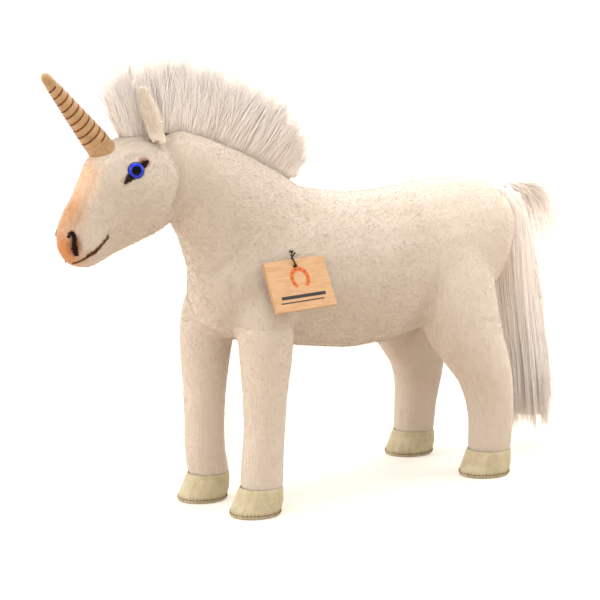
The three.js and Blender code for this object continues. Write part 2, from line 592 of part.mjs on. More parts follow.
// Each ear nods about its foot, and is cut back there so that it does so without touching the head.
const EAR_SWING = [-25, -12, 0, 10, 20]; // degrees, positive forward
const EAR_CLEARANCE = swept([HEAD, NECK], { x: EAR_FOOT.x, z: EAR_FOOT.z }, EAR_SWING).add(CLEAR_OF_SKIN);
function earLeaf(side, from, to) {
  const at = (row, column, depth) => {
    const t = (row / EAR_ROWS) * 0.97;
    const radius = Math.max(earRadius(t), EAR_CLOTH + EAR_LINING + 1);
    const angle = radians(EAR_ROLL) * (column / EAR_COLUMNS) * (1 - 0.3 * t);
    const r = radius - depth;
    return new THREE.Vector3(-r * Math.cos(angle), side * r * Math.sin(angle), t * EAR_LENGTH);
  };
  const position = [];
  const quad = (a, b, c, d) => position.push(...a, ...b, ...c, ...a, ...c, ...d);
  const outer = (i, k) => at(i, k, from).toArray();
  const inner = (i, k) => at(i, k, to).toArray();
  for (let i = 0; i < EAR_ROWS; i++)
    for (let k = -EAR_COLUMNS; k < EAR_COLUMNS; k++) {
      quad(outer(i, k), outer(i, k + 1), outer(i + 1, k + 1), outer(i + 1, k));
      quad(inner(i, k), inner(i + 1, k), inner(i + 1, k + 1), inner(i, k + 1));
    }
  for (let k = -EAR_COLUMNS; k < EAR_COLUMNS; k++) {
    quad(outer(0, k), inner(0, k), inner(0, k + 1), outer(0, k + 1));
    quad(outer(EAR_ROWS, k), outer(EAR_ROWS, k + 1), inner(EAR_ROWS, k + 1), inner(EAR_ROWS, k));
  }
  for (let i = 0; i < EAR_ROWS; i++) {
    quad(outer(i, -EAR_COLUMNS), outer(i + 1, -EAR_COLUMNS), inner(i + 1, -EAR_COLUMNS), inner(i, -EAR_COLUMNS));
    quad(outer(i, EAR_COLUMNS), inner(i, EAR_COLUMNS), inner(i + 1, EAR_COLUMNS), outer(i + 1, EAR_COLUMNS));
  }
  const geometry = new THREE.BufferGeometry();
  geometry.setAttribute("position", new THREE.Float32BufferAttribute(position, 3));
  geometry
    .rotateZ(side * radians(EAR_OPENS))
    .rotateX(side * -radians(EAR_TILT.out))
    .rotateY(radians(EAR_TILT.forward))
    .translate(EAR_FOOT.x, side * EAR_FOOT.y, EAR_FOOT.z);
  const made = solid(geometry);
  return (made.volume() < 0 ? solid(turnedInsideOut(geometry)) : made).subtract(EAR_CLEARANCE);
}
for (const [name, side] of [["left", 1], ["right", -1]]) {
  piece(`ear_${name}_outer`, earLeaf(side, 0, EAR_CLOTH), "plush");
  piece(`ear_${name}_lining`, earLeaf(side, EAR_CLOTH + GAP, EAR_CLOTH + EAR_LINING), "plush");
}

// ---------------------------------------------------------------- embroidery

// Stitching lies on the head's skin: a prism cut back to a thin layer that follows the surface.
const STITCH_FROM = GAP;
const STITCH_TO = 1.1;
const headGrown = (by) => loft(HEAD, { inset: -by, steps: 1 });
const stitchLayer = headGrown(STITCH_TO).subtract(headGrown(STITCH_FROM));
// `heading` is the way the outline's length points, in degrees from forward towards up.
function stitched(outline, { at, out }, side, heading) {
  const shape = new THREE.Shape(outline.map(([across, along]) => new THREE.Vector2(side * across, along)));
  const prism = new THREE.ExtrudeGeometry(shape, { depth: 16, bevelEnabled: false })
    .translate(0, 0, -8)
    .rotateZ(radians(side > 0 ? -heading - 90 : heading - 90));
  return stitchLayer.intersect(solid(placed(prism, at, out)));
}
const EYE_CORNERS = { front: { heading: -46, length: 5.8 }, rear: { heading: 152, length: 6.6 } };
const NOSTRIL = [[-1.7, -6.5], [1.6, -6.5], [1.9, 4], [0.9, 7], [-1.8, 7.5], [-2.8, 4], [-1.5, 3]];
const MOUTH = [[-0.8, -15], [0.8, -15], [0.8, 9], [-0.8, 9]];
for (const [name, side] of [["left", 1], ["right", -1]]) {
  for (const [corner, { heading, length }] of Object.entries(EYE_CORNERS)) {
    const start = EYE_R + GAP + 0.1;
    const outline = [[-2.8, start], [2.8, start], [0.6, start + length], [-0.6, start + length]];
    const made = stitched(outline, SEATS[name], side, heading).subtract(EYE_ROOM);
    piece(`eye_corner_${corner}_${name}`, made, "embroidery");
  }
  piece(`nostril_${name}`, stitched(NOSTRIL, onHead(80, 0.45, side), side, 84), "embroidery");
  piece(`mouth_${name}`, stitched(MOUTH, onHead(70, -0.18, side), side, HEAD_DROP), "embroidery");
}

// ---------------------------------------------------------------- mane

// The crest runs from between the ears to the withers. At each place: the root, the lean of the hair, its length
// and how wide it spreads to each side.
const crest = (x, z, lean, length, spread) => ({ x, z, lean, length, spread });
const CREST = [
  crest(52, BACK + 13, 40, 20, 6),
  crest(70, BACK + 20, 30, 40, 10),
  crest(90, BACK + 30, 26, 56, 14),
  crest(114, BACK + 39.5, 22, 59, 17),
  crest(142, BACK + 49.5, 14, 60, 14),
  crest(166, BACK + 53.5, 6, 63, 9),
  crest(180, BACK + 54, 0, 64, 8.5),
];
const hair = (roots, shortBy = 0) =>
  roots.map(({ x, z, lean, length, spread }) => {
    const reach = (length - shortBy) / 2;
    const [sin, cos] = [Math.sin(radians(lean)), Math.cos(radians(lean))];
    return station(x - reach * sin, 0, z + reach * cos, lean, spread, reach);
  });
const tapeRoots = CREST.map((c) => ({ ...c, length: 2 * (MANE_TAPE + GAP), spread: 3.2 }));
const MANE_TAPE_SOLID = loft(hair(tapeRoots), { steps: 2, sides: 10, blunt: 0.5 }).subtract(CLEAR_OF_SKIN);
const tapeRoom = loft(hair(tapeRoots), { inset: -GAP, steps: 2, sides: 10, blunt: 0.5 });
piece("mane_tape", MANE_TAPE_SOLID, "plush");
piece("mane_pile", loft(hair(CREST), { sides: 14, steps: 1, blunt: 0.4 }).subtract(CLEAR_OF_SKIN).subtract(tapeRoom), "pile");

const FORELOCK = [
  crest(190.5, BACK + 51, -4, 62, 8),
  crest(198, BACK + 50, -8, 56, 9),
  crest(208, BACK + 48, -19, 49, 7),
];
piece("forelock_pile", loft(hair(FORELOCK), { sides: 14, steps: 2, blunt: 0.35 }).subtract(CLEAR_OF_SKIN), "pile");

// ---------------------------------------------------------------- tail

// The pile is gathered round a rolled cloth tab, which hangs on a short stub sewn into the rump at the dock.
const DOCK = { x: -174.5, z: BACK - 8 };
const STUB_RADIUS = 4.4;
const STUB_LENGTH = 4;
const TAB_RADIUS = 5.5;
const TAB_WIDENING = 1.5;
const TAB_LENGTH = 20;
const TAB_DROOP = 14;
const STUB_BEDDED = 2; // its inner end stops just short of the rump's skin
const stub = rod(STUB_RADIUS, -STUB_BEDDED, STUB_LENGTH, 10);
const backward = new THREE.Vector3(-1, 0, 0);
piece("tail_stub", solid(placed(stub, new THREE.Vector3(DOCK.x, 0, DOCK.z), backward)).subtract(CLEAR_OF_SKIN), "plush");
const tab = (grow) =>
  solid(placed(
    rod(TAB_RADIUS + grow, -grow, TAB_LENGTH + grow, 12).scale(1, TAB_WIDENING, 1),
    new THREE.Vector3(DOCK.x - STUB_LENGTH - 2 * GAP, 0, DOCK.z),
    new THREE.Vector3(-Math.cos(radians(TAB_DROOP)), 0, -Math.sin(radians(TAB_DROOP))),
  ));
const TAIL_HINGE = { x: DOCK.x - STUB_LENGTH - GAP, z: DOCK.z + 8 };
const TAIL_SWING = [0, 15, 30, 45]; // degrees, positive lifts it back
const TAIL_CLEARANCE = swept([TRUNK], TAIL_HINGE, TAIL_SWING)
  .add(solid(placed(rod(STUB_RADIUS + GAP, 0, STUB_LENGTH + GAP, 10), new THREE.Vector3(DOCK.x, 0, DOCK.z), backward)));
piece("tail_tab", tab(0).subtract(TAIL_CLEARANCE), "plush");
const TAIL_CLEAR_OF_FLOOR = 14; // where its last section is
const lock = (back, share, tilt, halfWidth, reach) =>
  station(DOCK.x - back, 0, DOCK.z - share * (DOCK.z - TAIL_CLEAR_OF_FLOOR), tilt, halfWidth, reach);
const TAIL = [
  lock(12, 0.005, -32, 9, 8),
  lock(19.5, 0.05, -58, 13, 12),
  lock(26.5, 0.17, -80, 16, 15),
  lock(33.5, 0.36, -83, 18, 17),
  lock(40.5, 0.58, -84, 20, 18),
  lock(46.5, 0.815, -85, 21, 20),
  lock(50.5, 1, -86, 20, 20),
];
piece("tail_pile", loft(TAIL, { sides: 12, steps: 1, blunt: 0.2 }).subtract(TAIL_CLEARANCE).subtract(tab(GAP)), "pile");

// ---------------------------------------------------------------- swing tag

const TAG_HANGS_AT = { x: 86, z: BACK - 40 }; // the stitch in the left flank
const flankAt = (x, z) => {
  const rings = between(TRUNK, 6);
  const s = rings.reduce((best, r) => (Math.abs(r.x - x) < Math.abs(best.x - x) ? r : best));
  const share = (z - s.z) / (z > s.z ? s.up : s.down);
  return s.halfWidth * Math.sqrt(Math.max(0, 1 - share ** 2));
};
const CORD_DROP = 12; // stitch to hole
const CORD_AHEAD = 2.5; // and the hole hangs this far forward of the stitch
const HOLE_AT = { x: TAG_HANGS_AT.x + CORD_AHEAD, z: TAG_HANGS_AT.z - CORD_DROP };
const TAG_AT = new THREE.Vector3(HOLE_AT.x, flankAt(HOLE_AT.x, HOLE_AT.z) + TAG_STANDOFF, HOLE_AT.z);
const boardOutline = new THREE.Shape([
  new THREE.Vector2(-TAG_WIDTH / 2, TAG_HOLE_DROP - TAG_HEIGHT),
  new THREE.Vector2(TAG_WIDTH / 2, TAG_HOLE_DROP - TAG_HEIGHT),
  new THREE.Vector2(TAG_WIDTH / 2, TAG_HOLE_DROP),
  new THREE.Vector2(-TAG_WIDTH / 2, TAG_HOLE_DROP),
]);
boardOutline.holes.push(new THREE.Path().absarc(0, 0, TAG_HOLE_RADIUS, 0, 2 * Math.PI, true));
// Drawn in its own plane with +Z out of its face, then stood up facing +Y, leant and spun about the hole.
const boardTurn = new THREE.Matrix4()
  .makeTranslation(TAG_AT.x, TAG_AT.y, TAG_AT.z)
  .multiply(new THREE.Matrix4().makeRotationZ(radians(-TAG_TURN)))
  .multiply(new THREE.Matrix4().makeRotationX(radians(TAG_LEAN)))
  .multiply(new THREE.Matrix4().makeRotationY(radians(TAG_SPIN)))
  .multiply(new THREE.Matrix4().makeRotationX(-Math.PI / 2))
  .multiply(new THREE.Matrix4().makeScale(1, -1, 1));
const board = new THREE.ExtrudeGeometry(boardOutline, { depth: TAG_THICKNESS, bevelEnabled: false, curveSegments: 8 });
board.applyMatrix4(boardTurn);
piece("tag_board", solid(turnedInsideOut(board)), "wood");

// The cord goes out of the stitch, down in front of the board, through its hole and back up behind it.
const stitchY = flankAt(TAG_HANGS_AT.x, TAG_HANGS_AT.z);
const onBoard = (x, y, z) => new THREE.Vector3(x, y, z).applyMatrix4(boardTurn);
const atStitch = (x, out, z) => new THREE.Vector3(TAG_HANGS_AT.x + x, stitchY + out, TAG_HANGS_AT.z + z);
const KNOT_RADIUS = 2.2;
const KNOT_HEIGHT = 1.2;
const STITCH_STANDOFF = KNOT_HEIGHT + 2 * GAP + TAG_CORD_RADIUS;
const knot = lathed([[0, -1], [KNOT_RADIUS, -1], [KNOT_RADIUS, GAP + 0.7 * KNOT_HEIGHT],
  [0.6 * KNOT_RADIUS, GAP + KNOT_HEIGHT], [0, GAP + KNOT_HEIGHT]], 8);
piece("tag_stitch", solid(placed(knot, atStitch(0, 0, 0), new THREE.Vector3(0, 1, 0))).subtract(CLEAR_OF_SKIN), "cord");
const CORD_ROUTE = [
  atStitch(1.2, STITCH_STANDOFF, 0),
  atStitch(1.8, STITCH_STANDOFF + 1.6, 0.8),
  onBoard(1.6, TAG_HOLE_DROP + 2.5, TAG_THICKNESS + 1.2),
  onBoard(0.9, 3.2, TAG_THICKNESS + 1.7),
  onBoard(0.3, 0.6, TAG_THICKNESS + 1.2),
  onBoard(0, 0, TAG_THICKNESS / 2),
  onBoard(-0.3, 0.6, -1.2),
  onBoard(-1.2, 4, -1.6),
  onBoard(-1.8, TAG_HOLE_DROP + 2, -1.2),
  atStitch(-1.6, STITCH_STANDOFF, -0.6),
];
const tagCord = wire(new THREE.CatmullRomCurve3(CORD_ROUTE), TAG_CORD_RADIUS, 24, 6);
piece("tag_cord", tagCord.subtract(CLEAR_OF_SKIN), "cord");

// ---------------------------------------------------------------- frame

// The part's origin is on the floor, under the middle of its overall box.
const box = new THREE.Box3().setFromObject(group);
const middle = box.getCenter(new THREE.Vector3());
group.children.forEach((mesh) => mesh.position.set(-middle.x, -middle.y, -box.min.z));

export default group;
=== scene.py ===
"""Plush unicorn: the visible model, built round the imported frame."""

import sys
import logging
import math
from dataclasses import astuple, dataclass, field
from enum import Enum
from typing import Any, Iterable, Mapping, Optional, Sequence, Union

import bmesh
import bpy
import numpy as np
from mathutils import Matrix, Vector
from mathutils.bvhtree import BVHTree
from mathutils.kdtree import KDTree


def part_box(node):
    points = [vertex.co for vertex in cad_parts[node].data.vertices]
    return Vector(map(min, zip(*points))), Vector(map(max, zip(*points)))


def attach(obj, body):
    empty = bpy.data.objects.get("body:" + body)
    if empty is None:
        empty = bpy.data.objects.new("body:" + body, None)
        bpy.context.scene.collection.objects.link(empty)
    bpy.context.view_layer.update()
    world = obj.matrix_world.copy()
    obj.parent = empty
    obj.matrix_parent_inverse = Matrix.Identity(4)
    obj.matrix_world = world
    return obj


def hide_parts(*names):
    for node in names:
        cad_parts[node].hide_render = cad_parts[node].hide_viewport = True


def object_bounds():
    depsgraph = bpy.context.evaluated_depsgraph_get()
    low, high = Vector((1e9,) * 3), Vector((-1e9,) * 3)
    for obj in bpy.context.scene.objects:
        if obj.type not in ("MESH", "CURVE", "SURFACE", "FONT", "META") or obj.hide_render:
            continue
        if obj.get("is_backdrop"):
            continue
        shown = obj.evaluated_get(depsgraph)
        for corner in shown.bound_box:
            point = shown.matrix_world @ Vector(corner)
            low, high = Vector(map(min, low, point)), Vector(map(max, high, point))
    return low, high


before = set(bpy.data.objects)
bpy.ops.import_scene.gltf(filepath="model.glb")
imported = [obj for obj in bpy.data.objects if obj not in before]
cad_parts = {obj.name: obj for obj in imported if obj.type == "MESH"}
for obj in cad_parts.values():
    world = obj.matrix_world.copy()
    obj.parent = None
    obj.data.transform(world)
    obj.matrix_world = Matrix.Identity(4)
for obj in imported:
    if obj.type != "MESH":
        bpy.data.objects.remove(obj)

logging.basicConfig(level=logging.INFO, format="%(message)s", stream=sys.stdout)
log = logging.getLogger("unicorn")

MM = 0.001
SEED = 11
PULL, PUSH = 0.5, -0.52  # a smoothing step's share to the neighbours' mean, and back from it
CURVE_STEPS = 16  # pieces that a curve is first cut into between two given points
TURN_STEPS = 48  # sides of a lathed piece

Point = Sequence[float]
Socket = bpy.types.NodeSocket
Tree = bpy.types.NodeTree
Value = Union[float, Socket]
Colour = Union[tuple[float, float, float, float], Socket]


class Side(Enum):
    """The two sides of the animal, by the sign of Y."""

    LEFT = 1
    RIGHT = -1

    @property
    def word(self) -> str:
        """The side's word in a piece name."""
        return self.name.lower()


class Body(Enum):
    """The moving bodies that pieces ride on."""

    ROOT = "root"
    EAR_LEFT = "ear_left"
    EAR_RIGHT = "ear_right"
    TAIL = "tail"
    TAG_STITCH = "tag_stitch"
    TAG = "tag"


# ---------------------------------------------------------------- small tools


def linear(code: str) -> tuple[float, float, float, float]:
    """Turns an sRGB hex colour to linear.

    Args:
        code: Six hex digits.

    Returns:
        Red, green, blue and an alpha of 1.
    """
    parts = [int(code[i : i + 2], 16) / 255 for i in (0, 2, 4)]
    r, g, b = (c / 12.92 if c <= 0.04045 else ((c + 0.055) / 1.055) ** 2.4 for c in parts)
    return (r, g, b, 1.0)


def centre(node: str) -> Vector:
    """The middle of a CAD node's box, in metres."""
    low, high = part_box(node)
    return (low + high) / 2


def centroid(node: str) -> Vector:
    """The mean of a CAD node's vertices, in metres."""
    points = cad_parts[node].data.vertices
    return sum((v.co for v in points), Vector()) / len(points)


def vec(point: Point) -> Vector:
    """A point given in millimetres, in metres."""
    return Vector(point) * MM


def new_object(name: str, mesh: bpy.types.Mesh) -> bpy.types.Object:
    """Links a mesh into the scene under a name.

    Args:
        name: The name of the object and of its mesh.
        mesh: The mesh.

    Returns:
        The new object.
    """
    mesh.name = name
    made = bpy.data.objects.new(name, mesh)
    bpy.context.scene.collection.objects.link(made)
    return made


def smooth_shaded(obj: bpy.types.Object, angle: float = math.pi) -> bpy.types.Object:
    """Shades every face smooth, or all but the edges sharper than an angle.

    Args:
        obj: The piece.
        angle: The angle in radians.

    Returns:
        The same piece.
    """
    obj.data.polygons.foreach_set("use_smooth", [True] * len(obj.data.polygons))
    if angle < math.pi:
        obj.data.set_sharp_from_angle(angle=angle)
    return obj


def from_bmesh(name: str, bm: bmesh.types.BMesh, angle: float = math.pi) -> bpy.types.Object:
    """Turns a bmesh into a named object and frees it.

    Args:
        name: The piece's name.
        bm: The bmesh, in metres in the row frame.
        angle: Edges sharper than this stay sharp.

    Returns:
        The new object.
    """
    mesh = bpy.data.meshes.new(name)
    bm.to_mesh(mesh)
    bm.free()
    return smooth_shaded(new_object(name, mesh), angle)


def baked(obj: bpy.types.Object) -> bpy.types.Object:
    """Applies an object's modifiers to its mesh.

    Args:
        obj: The piece.

    Returns:
        The same piece.
    """
    graph = bpy.context.evaluated_depsgraph_get()
    mesh = bpy.data.meshes.new_from_object(obj.evaluated_get(graph))
    old = obj.data
    obj.modifiers.clear()
    obj.data = mesh
    mesh.name = obj.name
    bpy.data.meshes.remove(old)
    return obj


def copied(
    nodes: Iterable[str], grow: Optional[Mapping[str, float]] = None
) -> bmesh.types.BMesh:
    """Joins merged copies of CAD nodes.

    Args:
        nodes: The CAD nodes to copy.
        grow: How far to push a node's points out along their normals, by name.

    Returns:
        One bmesh that holds them all.
    """
    whole = bmesh.new()
    for node in nodes:
        one = bmesh.new()
        one.from_mesh(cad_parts[node].data)
        bmesh.ops.remove_doubles(one, verts=one.verts, dist=1e-6)
        if grow and node in grow:
            one.normal_update()
            shifts = [v.normal * grow[node] for v in one.verts]
            for v, shift in zip(one.verts, shifts):
                v.co += shift
        loose = bpy.data.meshes.new("loose")
        one.to_mesh(loose)
        one.free()
        whole.from_mesh(loose)
        bpy.data.meshes.remove(loose)
    return whole


def remeshed(name: str, bm: bmesh.types.BMesh, voxel: float) -> bpy.types.Object:
    """Makes one even closed surface of a bmesh and keeps its largest shell.

    Args:
        name: The piece's name.
        bm: Closed solids that may overlap.
        voxel: The grid's step in metres.

    Returns:
        The new object.
    """
    obj = from_bmesh(name, bm)
    mod = obj.modifiers.new("remesh", "REMESH")
    mod.mode, mod.voxel_size, mod.use_smooth_shade = "VOXEL", voxel, True
    baked(obj)
    shells = bmesh.new()
    shells.from_mesh(obj.data)
    left, best = set(shells.verts), []
    while left:
        seed = left.pop()
        shell, edge = [seed], [seed]
        while edge:
            v = edge.pop()
            for e in v.link_edges:
                other = e.other_vert(v)
                if other in left:
                    left.discard(other)
                    shell.append(other)
                    edge.append(other)
        if len(shell) > len(best):
            best = shell
    keep = set(best)
    bmesh.ops.delete(shells, geom=[v for v in shells.verts if v not in keep], context="VERTS")
    shells.to_mesh(obj.data)
    shells.free()
    return obj


def coords(mesh: bpy.types.Mesh) -> np.ndarray:
    """A mesh's points as an array of rows, in metres.

    Args:
        mesh: The mesh to read.

    Returns:
        One row for each point.
    """
    flat = np.empty(len(mesh.vertices) * 3)
    mesh.vertices.foreach_get("co", flat)
    return flat.reshape(-1, 3)


def normals(mesh: bpy.types.Mesh) -> np.ndarray:
    """A mesh's point normals as an array of rows.

    Args:
        mesh: The mesh to read.

    Returns:
        One row for each point.
    """
    flat = np.empty(len(mesh.vertices) * 3)
    mesh.vertex_normals.foreach_get("vector", flat)
    return flat.reshape(-1, 3)


def set_coords(mesh: bpy.types.Mesh, points: np.ndarray) -> None:
    """Writes a mesh's points from an array of rows."""
    mesh.vertices.foreach_set("co", points.astype(np.float32).ravel())
    mesh.update()


class Web:
    """The edges of a mesh, for smoothing values that are carried from point to point."""

    def __init__(self, mesh: bpy.types.Mesh) -> None:
        """Reads the mesh's edges.

        Args:
            mesh: The mesh to smooth.
        """
        edges = np.empty(len(mesh.edges) * 2, np.int64)
        mesh.edges.foreach_get("vertices", edges)
        a, b = edges.reshape(-1, 2).T
        self.to, self.of = np.concatenate([a, b]), np.concatenate([b, a])
        self.size = len(mesh.vertices)
        self.count = np.bincount(self.to, minlength=self.size)[:, None]

    def pulled(self, values: np.ndarray, pull: float) -> np.ndarray:
        """Moves each value a share of the way to its neighbours' mean.

        Args:
            values: One row for each point.
            pull: The share, below 0 to move away.

        Returns:
            The new values.
        """
        total = [np.bincount(self.to, values[self.of, k], self.size) for k in range(values.shape[1])]
        return values + pull * (np.stack(total, 1) / self.count - values)


def relaxed(mesh: bpy.types.Mesh, rounds: int) -> None:
    """Smooths a mesh, with a push back after each pull so that it doesn't shrink.

    Args:
        mesh: The mesh to smooth.
        rounds: How many pairs of steps.
    """
    web, points = Web(mesh), coords(mesh)
    for _ in range(rounds):
        points = web.pulled(web.pulled(points, PULL), PUSH)
    set_coords(mesh, points)


def faired(mesh: bpy.types.Mesh, rounds: int, from_z: float, to_z: float) -> None:
    """Irons out flat facets of a few steps' size but keeps the broad shape.

    Args:
        mesh: The mesh to smooth.
        rounds: How many pulls, which sets how wide a facet it takes out.
        from_z: The height below which nothing moves.
        to_z: The height above which it works in full.
    """
    web, points = Web(mesh), coords(mesh)
    soft = points
    for _ in range(rounds):
        soft = web.pulled(soft, PULL)
    lost = points - soft
    for _ in range(rounds):
        lost = web.pulled(lost, PULL)
    share = np.clip((points[:, 2] - from_z) / (to_z - from_z), 0, 1)[:, None]
    set_coords(mesh, points + (soft + lost - points) * share)


def ridden(
    obj: bpy.types.Object,
    body: Body,
    material: bpy.types.Material,
    stands_for: Sequence[str] = (),
) -> bpy.types.Object:
    """Dresses a finished piece, hangs it on its body and hides the CAD nodes that it replaces.

    Args:
        obj: The piece.
        body: The body that it moves with.
        material: Its finish.
        stands_for: The CAD nodes that it replaces.

    Returns:
        The same piece.
    """
    obj.data.materials.clear()
    obj.data.materials.append(material)
    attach(obj, body.value)
    if stands_for:
        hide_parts(*stands_for)
    log.info("piece %s on %s", obj.name, body.value)
    return obj


def tubes(
    name: str,
    lines: Sequence[Sequence[Point]],
    radii: Sequence[Sequence[float]],
    rounding: int = 0,
) -> bpy.types.Object:
    """Makes many tapering round strands as one mesh.

    Args:
        name: The piece's name.
        lines: Each strand's points in metres.
        radii: Each point's radius in metres.
        rounding: The curve's bevel resolution.

    Returns:
        The new mesh object.
    """
    data = bpy.data.curves.new(name, "CURVE")
    data.dimensions, data.bevel_depth, data.bevel_resolution = "3D", 1.0, rounding
    data.use_fill_caps = True
    for line, thick in zip(lines, radii):
        spline = data.splines.new("POLY")
        spline.points.add(len(line) - 1)
        spline.points.foreach_set("co", [c for p in line for c in (p[0], p[1], p[2], 1.0)])
        spline.points.foreach_set("radius", list(thick))
    holder = bpy.data.objects.new(name, data)
    bpy.context.scene.collection.objects.link(holder)
    graph = bpy.context.evaluated_depsgraph_get()
    mesh = bpy.data.meshes.new_from_object(holder.evaluated_get(graph))
    bpy.data.objects.remove(holder)
    bpy.data.curves.remove(data)
    tidy = bmesh.new()
    tidy.from_mesh(mesh)
    bmesh.ops.remove_doubles(tidy, verts=tidy.verts, dist=1e-7)
    bmesh.ops.recalc_face_normals(tidy, faces=tidy.faces)
    tidy.to_mesh(mesh)
    tidy.free()
    mesh.materials.clear()
    return smooth_shaded(new_object(name, mesh))


def spline_through(points: Sequence[Point], count: int) -> list[Vector]:
    """Even points on a smooth curve through a few given ones.

    Args:
        points: The points to pass through, in metres.
        count: How many points to return.

    Returns:
        The points of the curve.
    """
    p = [Vector(q) for q in points]
    p = [p[0] * 2 - p[1], *p, p[-1] * 2 - p[-2]]
    dense = []
    for i in range(1, len(p) - 2):
        for k in range(CURVE_STEPS):
            t = k / CURVE_STEPS
            dense.append(
                0.5
                * (
                    2 * p[i]
                    + (p[i + 1] - p[i - 1]) * t
                    + (2 * p[i - 1] - 5 * p[i] + 4 * p[i + 1] - p[i + 2]) * t * t
                    + (3 * p[i] - p[i - 1] - 3 * p[i + 1] + p[i + 2]) * t**3
                )
            )
    dense.append(p[-2])
    run = [0.0]
    for a, b in zip(dense, dense[1:]):
        run.append(run[-1] + (b - a).length)
    made = []
    for k in range(count):
        want, i = run[-1] * k / (count - 1), 1
        while i < len(run) - 1 and run[i] < want:
            i += 1
        span = run[i] - run[i - 1] or 1.0
        made.append(dense[i - 1].lerp(dense[i], (want - run[i - 1]) / span))
    return made


# ---------------------------------------------------------------- finishes


def add(
    tree: Tree, kind: str, inputs: Optional[Mapping[Union[str, int], Any]] = None, **settings: Any
) -> bpy.types.Node:
    """Adds a node to a tree, with its settings, values and links.

    Args:
        tree: The material's or world's node tree.
        kind: The node's type.
        inputs: Values or output sockets by input name or number.
        **settings: The node's own properties.

    Returns:
        The new node.
    """
    made = tree.nodes.new(kind)
    for key, value in settings.items():
        setattr(made, key, value)
    for key, value in (inputs or {}).items():
        if isinstance(value, Socket):
            tree.links.new(value, made.inputs[key])
        else:
            made.inputs[key].default_value = value
    return made


def started(name: str) -> tuple[bpy.types.Material, Tree, Socket]:
    """Starts an empty material.

    Args:
        name: Its name.

    Returns:
        The material, its tree, and its Object coordinates.
    """
    material = bpy.data.materials.new(name)
    material.use_nodes = True
    tree = material.node_tree
    tree.nodes.clear()
    return material, tree, add(tree, "ShaderNodeTexCoord").outputs["Object"]


def closed(tree: Tree, shader: bpy.types.Node) -> None:
    """Joins a shader to the material's output."""
    add(tree, "ShaderNodeOutputMaterial", {"Surface": shader.outputs[0]})


def grain(
    tree: Tree, at: Socket, size_mm: float, detail: float = 3.0, rough: float = 0.6
) -> Socket:
    """A noise whose lumps are about a given size, as a value from 0 to 1.

    Args:
        tree: The material's tree.
        at: The coordinates' socket.
        size_mm: The size of one lump in millimetres.
        detail: How many finer layers it has.
        rough: How strong those are.

    Returns:
        The noise's value socket.
    """
    return add(
        tree,
        "ShaderNodeTexNoise",
        {"Vector": at, "Scale": 1000 / size_mm, "Detail": detail, "Roughness": rough},
    ).outputs[0]


def ranged(
    tree: Tree, value: Value, low: float, high: float, to_low: float = 0.0, to_high: float = 1.0
) -> Socket:
    """Maps a value's range to another one, smoothly and clamped.

    Args:
        tree: The material's or world's tree.
        value: The value to map.
        low: Where its range starts.
        high: Where its range ends.
        to_low: What the start becomes.
        to_high: What the end becomes.

    Returns:
        The mapped value's socket.
    """
    return add(
        tree,
        "ShaderNodeMapRange",
        {"Value": value, 1: low, 2: high, 3: to_low, 4: to_high},
        interpolation_type="SMOOTHSTEP",
    ).outputs[0]


def maths(tree: Tree, operation: str, a: Value, b: Value = 0.0) -> Socket:
    """Joins two values by an operation and returns the result's socket."""
    return add(tree, "ShaderNodeMath", {0: a, 1: b}, operation=operation).outputs[0]


def mixed(tree: Tree, factor: Value, a: Colour, b: Colour) -> Socket:
    """Mixes two colours.

    Args:
        tree: The material's tree.
        factor: The share of the second colour.
        a: The first colour.
        b: The second colour.

    Returns:
        The mixed colour's socket.
    """
    return add(
        tree,
        "ShaderNodeMix",
        {0: factor, 6: a, 7: b},
        data_type="RGBA",
    ).outputs[2]


def bumped(tree: Tree, height: Socket, distance_mm: float, strength: float) -> Socket:
    """Turns a height to a bumped normal.

    Args:
        tree: The material's tree.
        height: The height's socket.
        distance_mm: How high a height of 1 is, in millimetres.
        strength: How strongly it shows, from 0 to 1.

    Returns:
        The normal's socket.
    """
    inputs = {"Height": height, "Distance": distance_mm * MM, "Strength": strength}
    return add(tree, "ShaderNodeBump", inputs).outputs[0]


@dataclass(frozen=True)
class Spray:
    """One pass of airbrushed dye on the finished toy.

    Attributes:
        at: The middle of the pass in metres.
        reach: Its half sizes along X, Y and Z in metres.
        colour: The dye's sRGB colour.
        strength: How much of it takes, from 0 to 1.
        hard: The share of the reach that is fully dyed.
    """

    at: tuple[float, float, float]
    reach: tuple[float, float, float]
    colour: str
    strength: float
    hard: float = 0.1

    def over(self, tree: Tree, at: Socket, below: Socket, speckle: Socket) -> Socket:
        """Lays the dye over a colour.

        Args:
            tree: The material's tree.
            at: The Object coordinates.
            below: The colour so far.
            speckle: A noise that breaks the dye's edge.

        Returns:
            The new colour's socket.
        """
        placed = add(
            tree,
            "ShaderNodeMapping",
            {
                "Vector": at,
                "Location": self.at,
                "Scale": self.reach,
            },
            vector_type="TEXTURE",
        ).outputs[0]
        far = add(tree, "ShaderNodeVectorMath", {0: placed}, operation="LENGTH").outputs["Value"]
        broken = maths(tree, "ADD", far, maths(tree, "MULTIPLY", speckle, 0.35))
        share = ranged(tree, broken, 1.17, self.hard + 0.17, 0.0, self.strength)
        return mixed(tree, share, below, linear(self.colour))


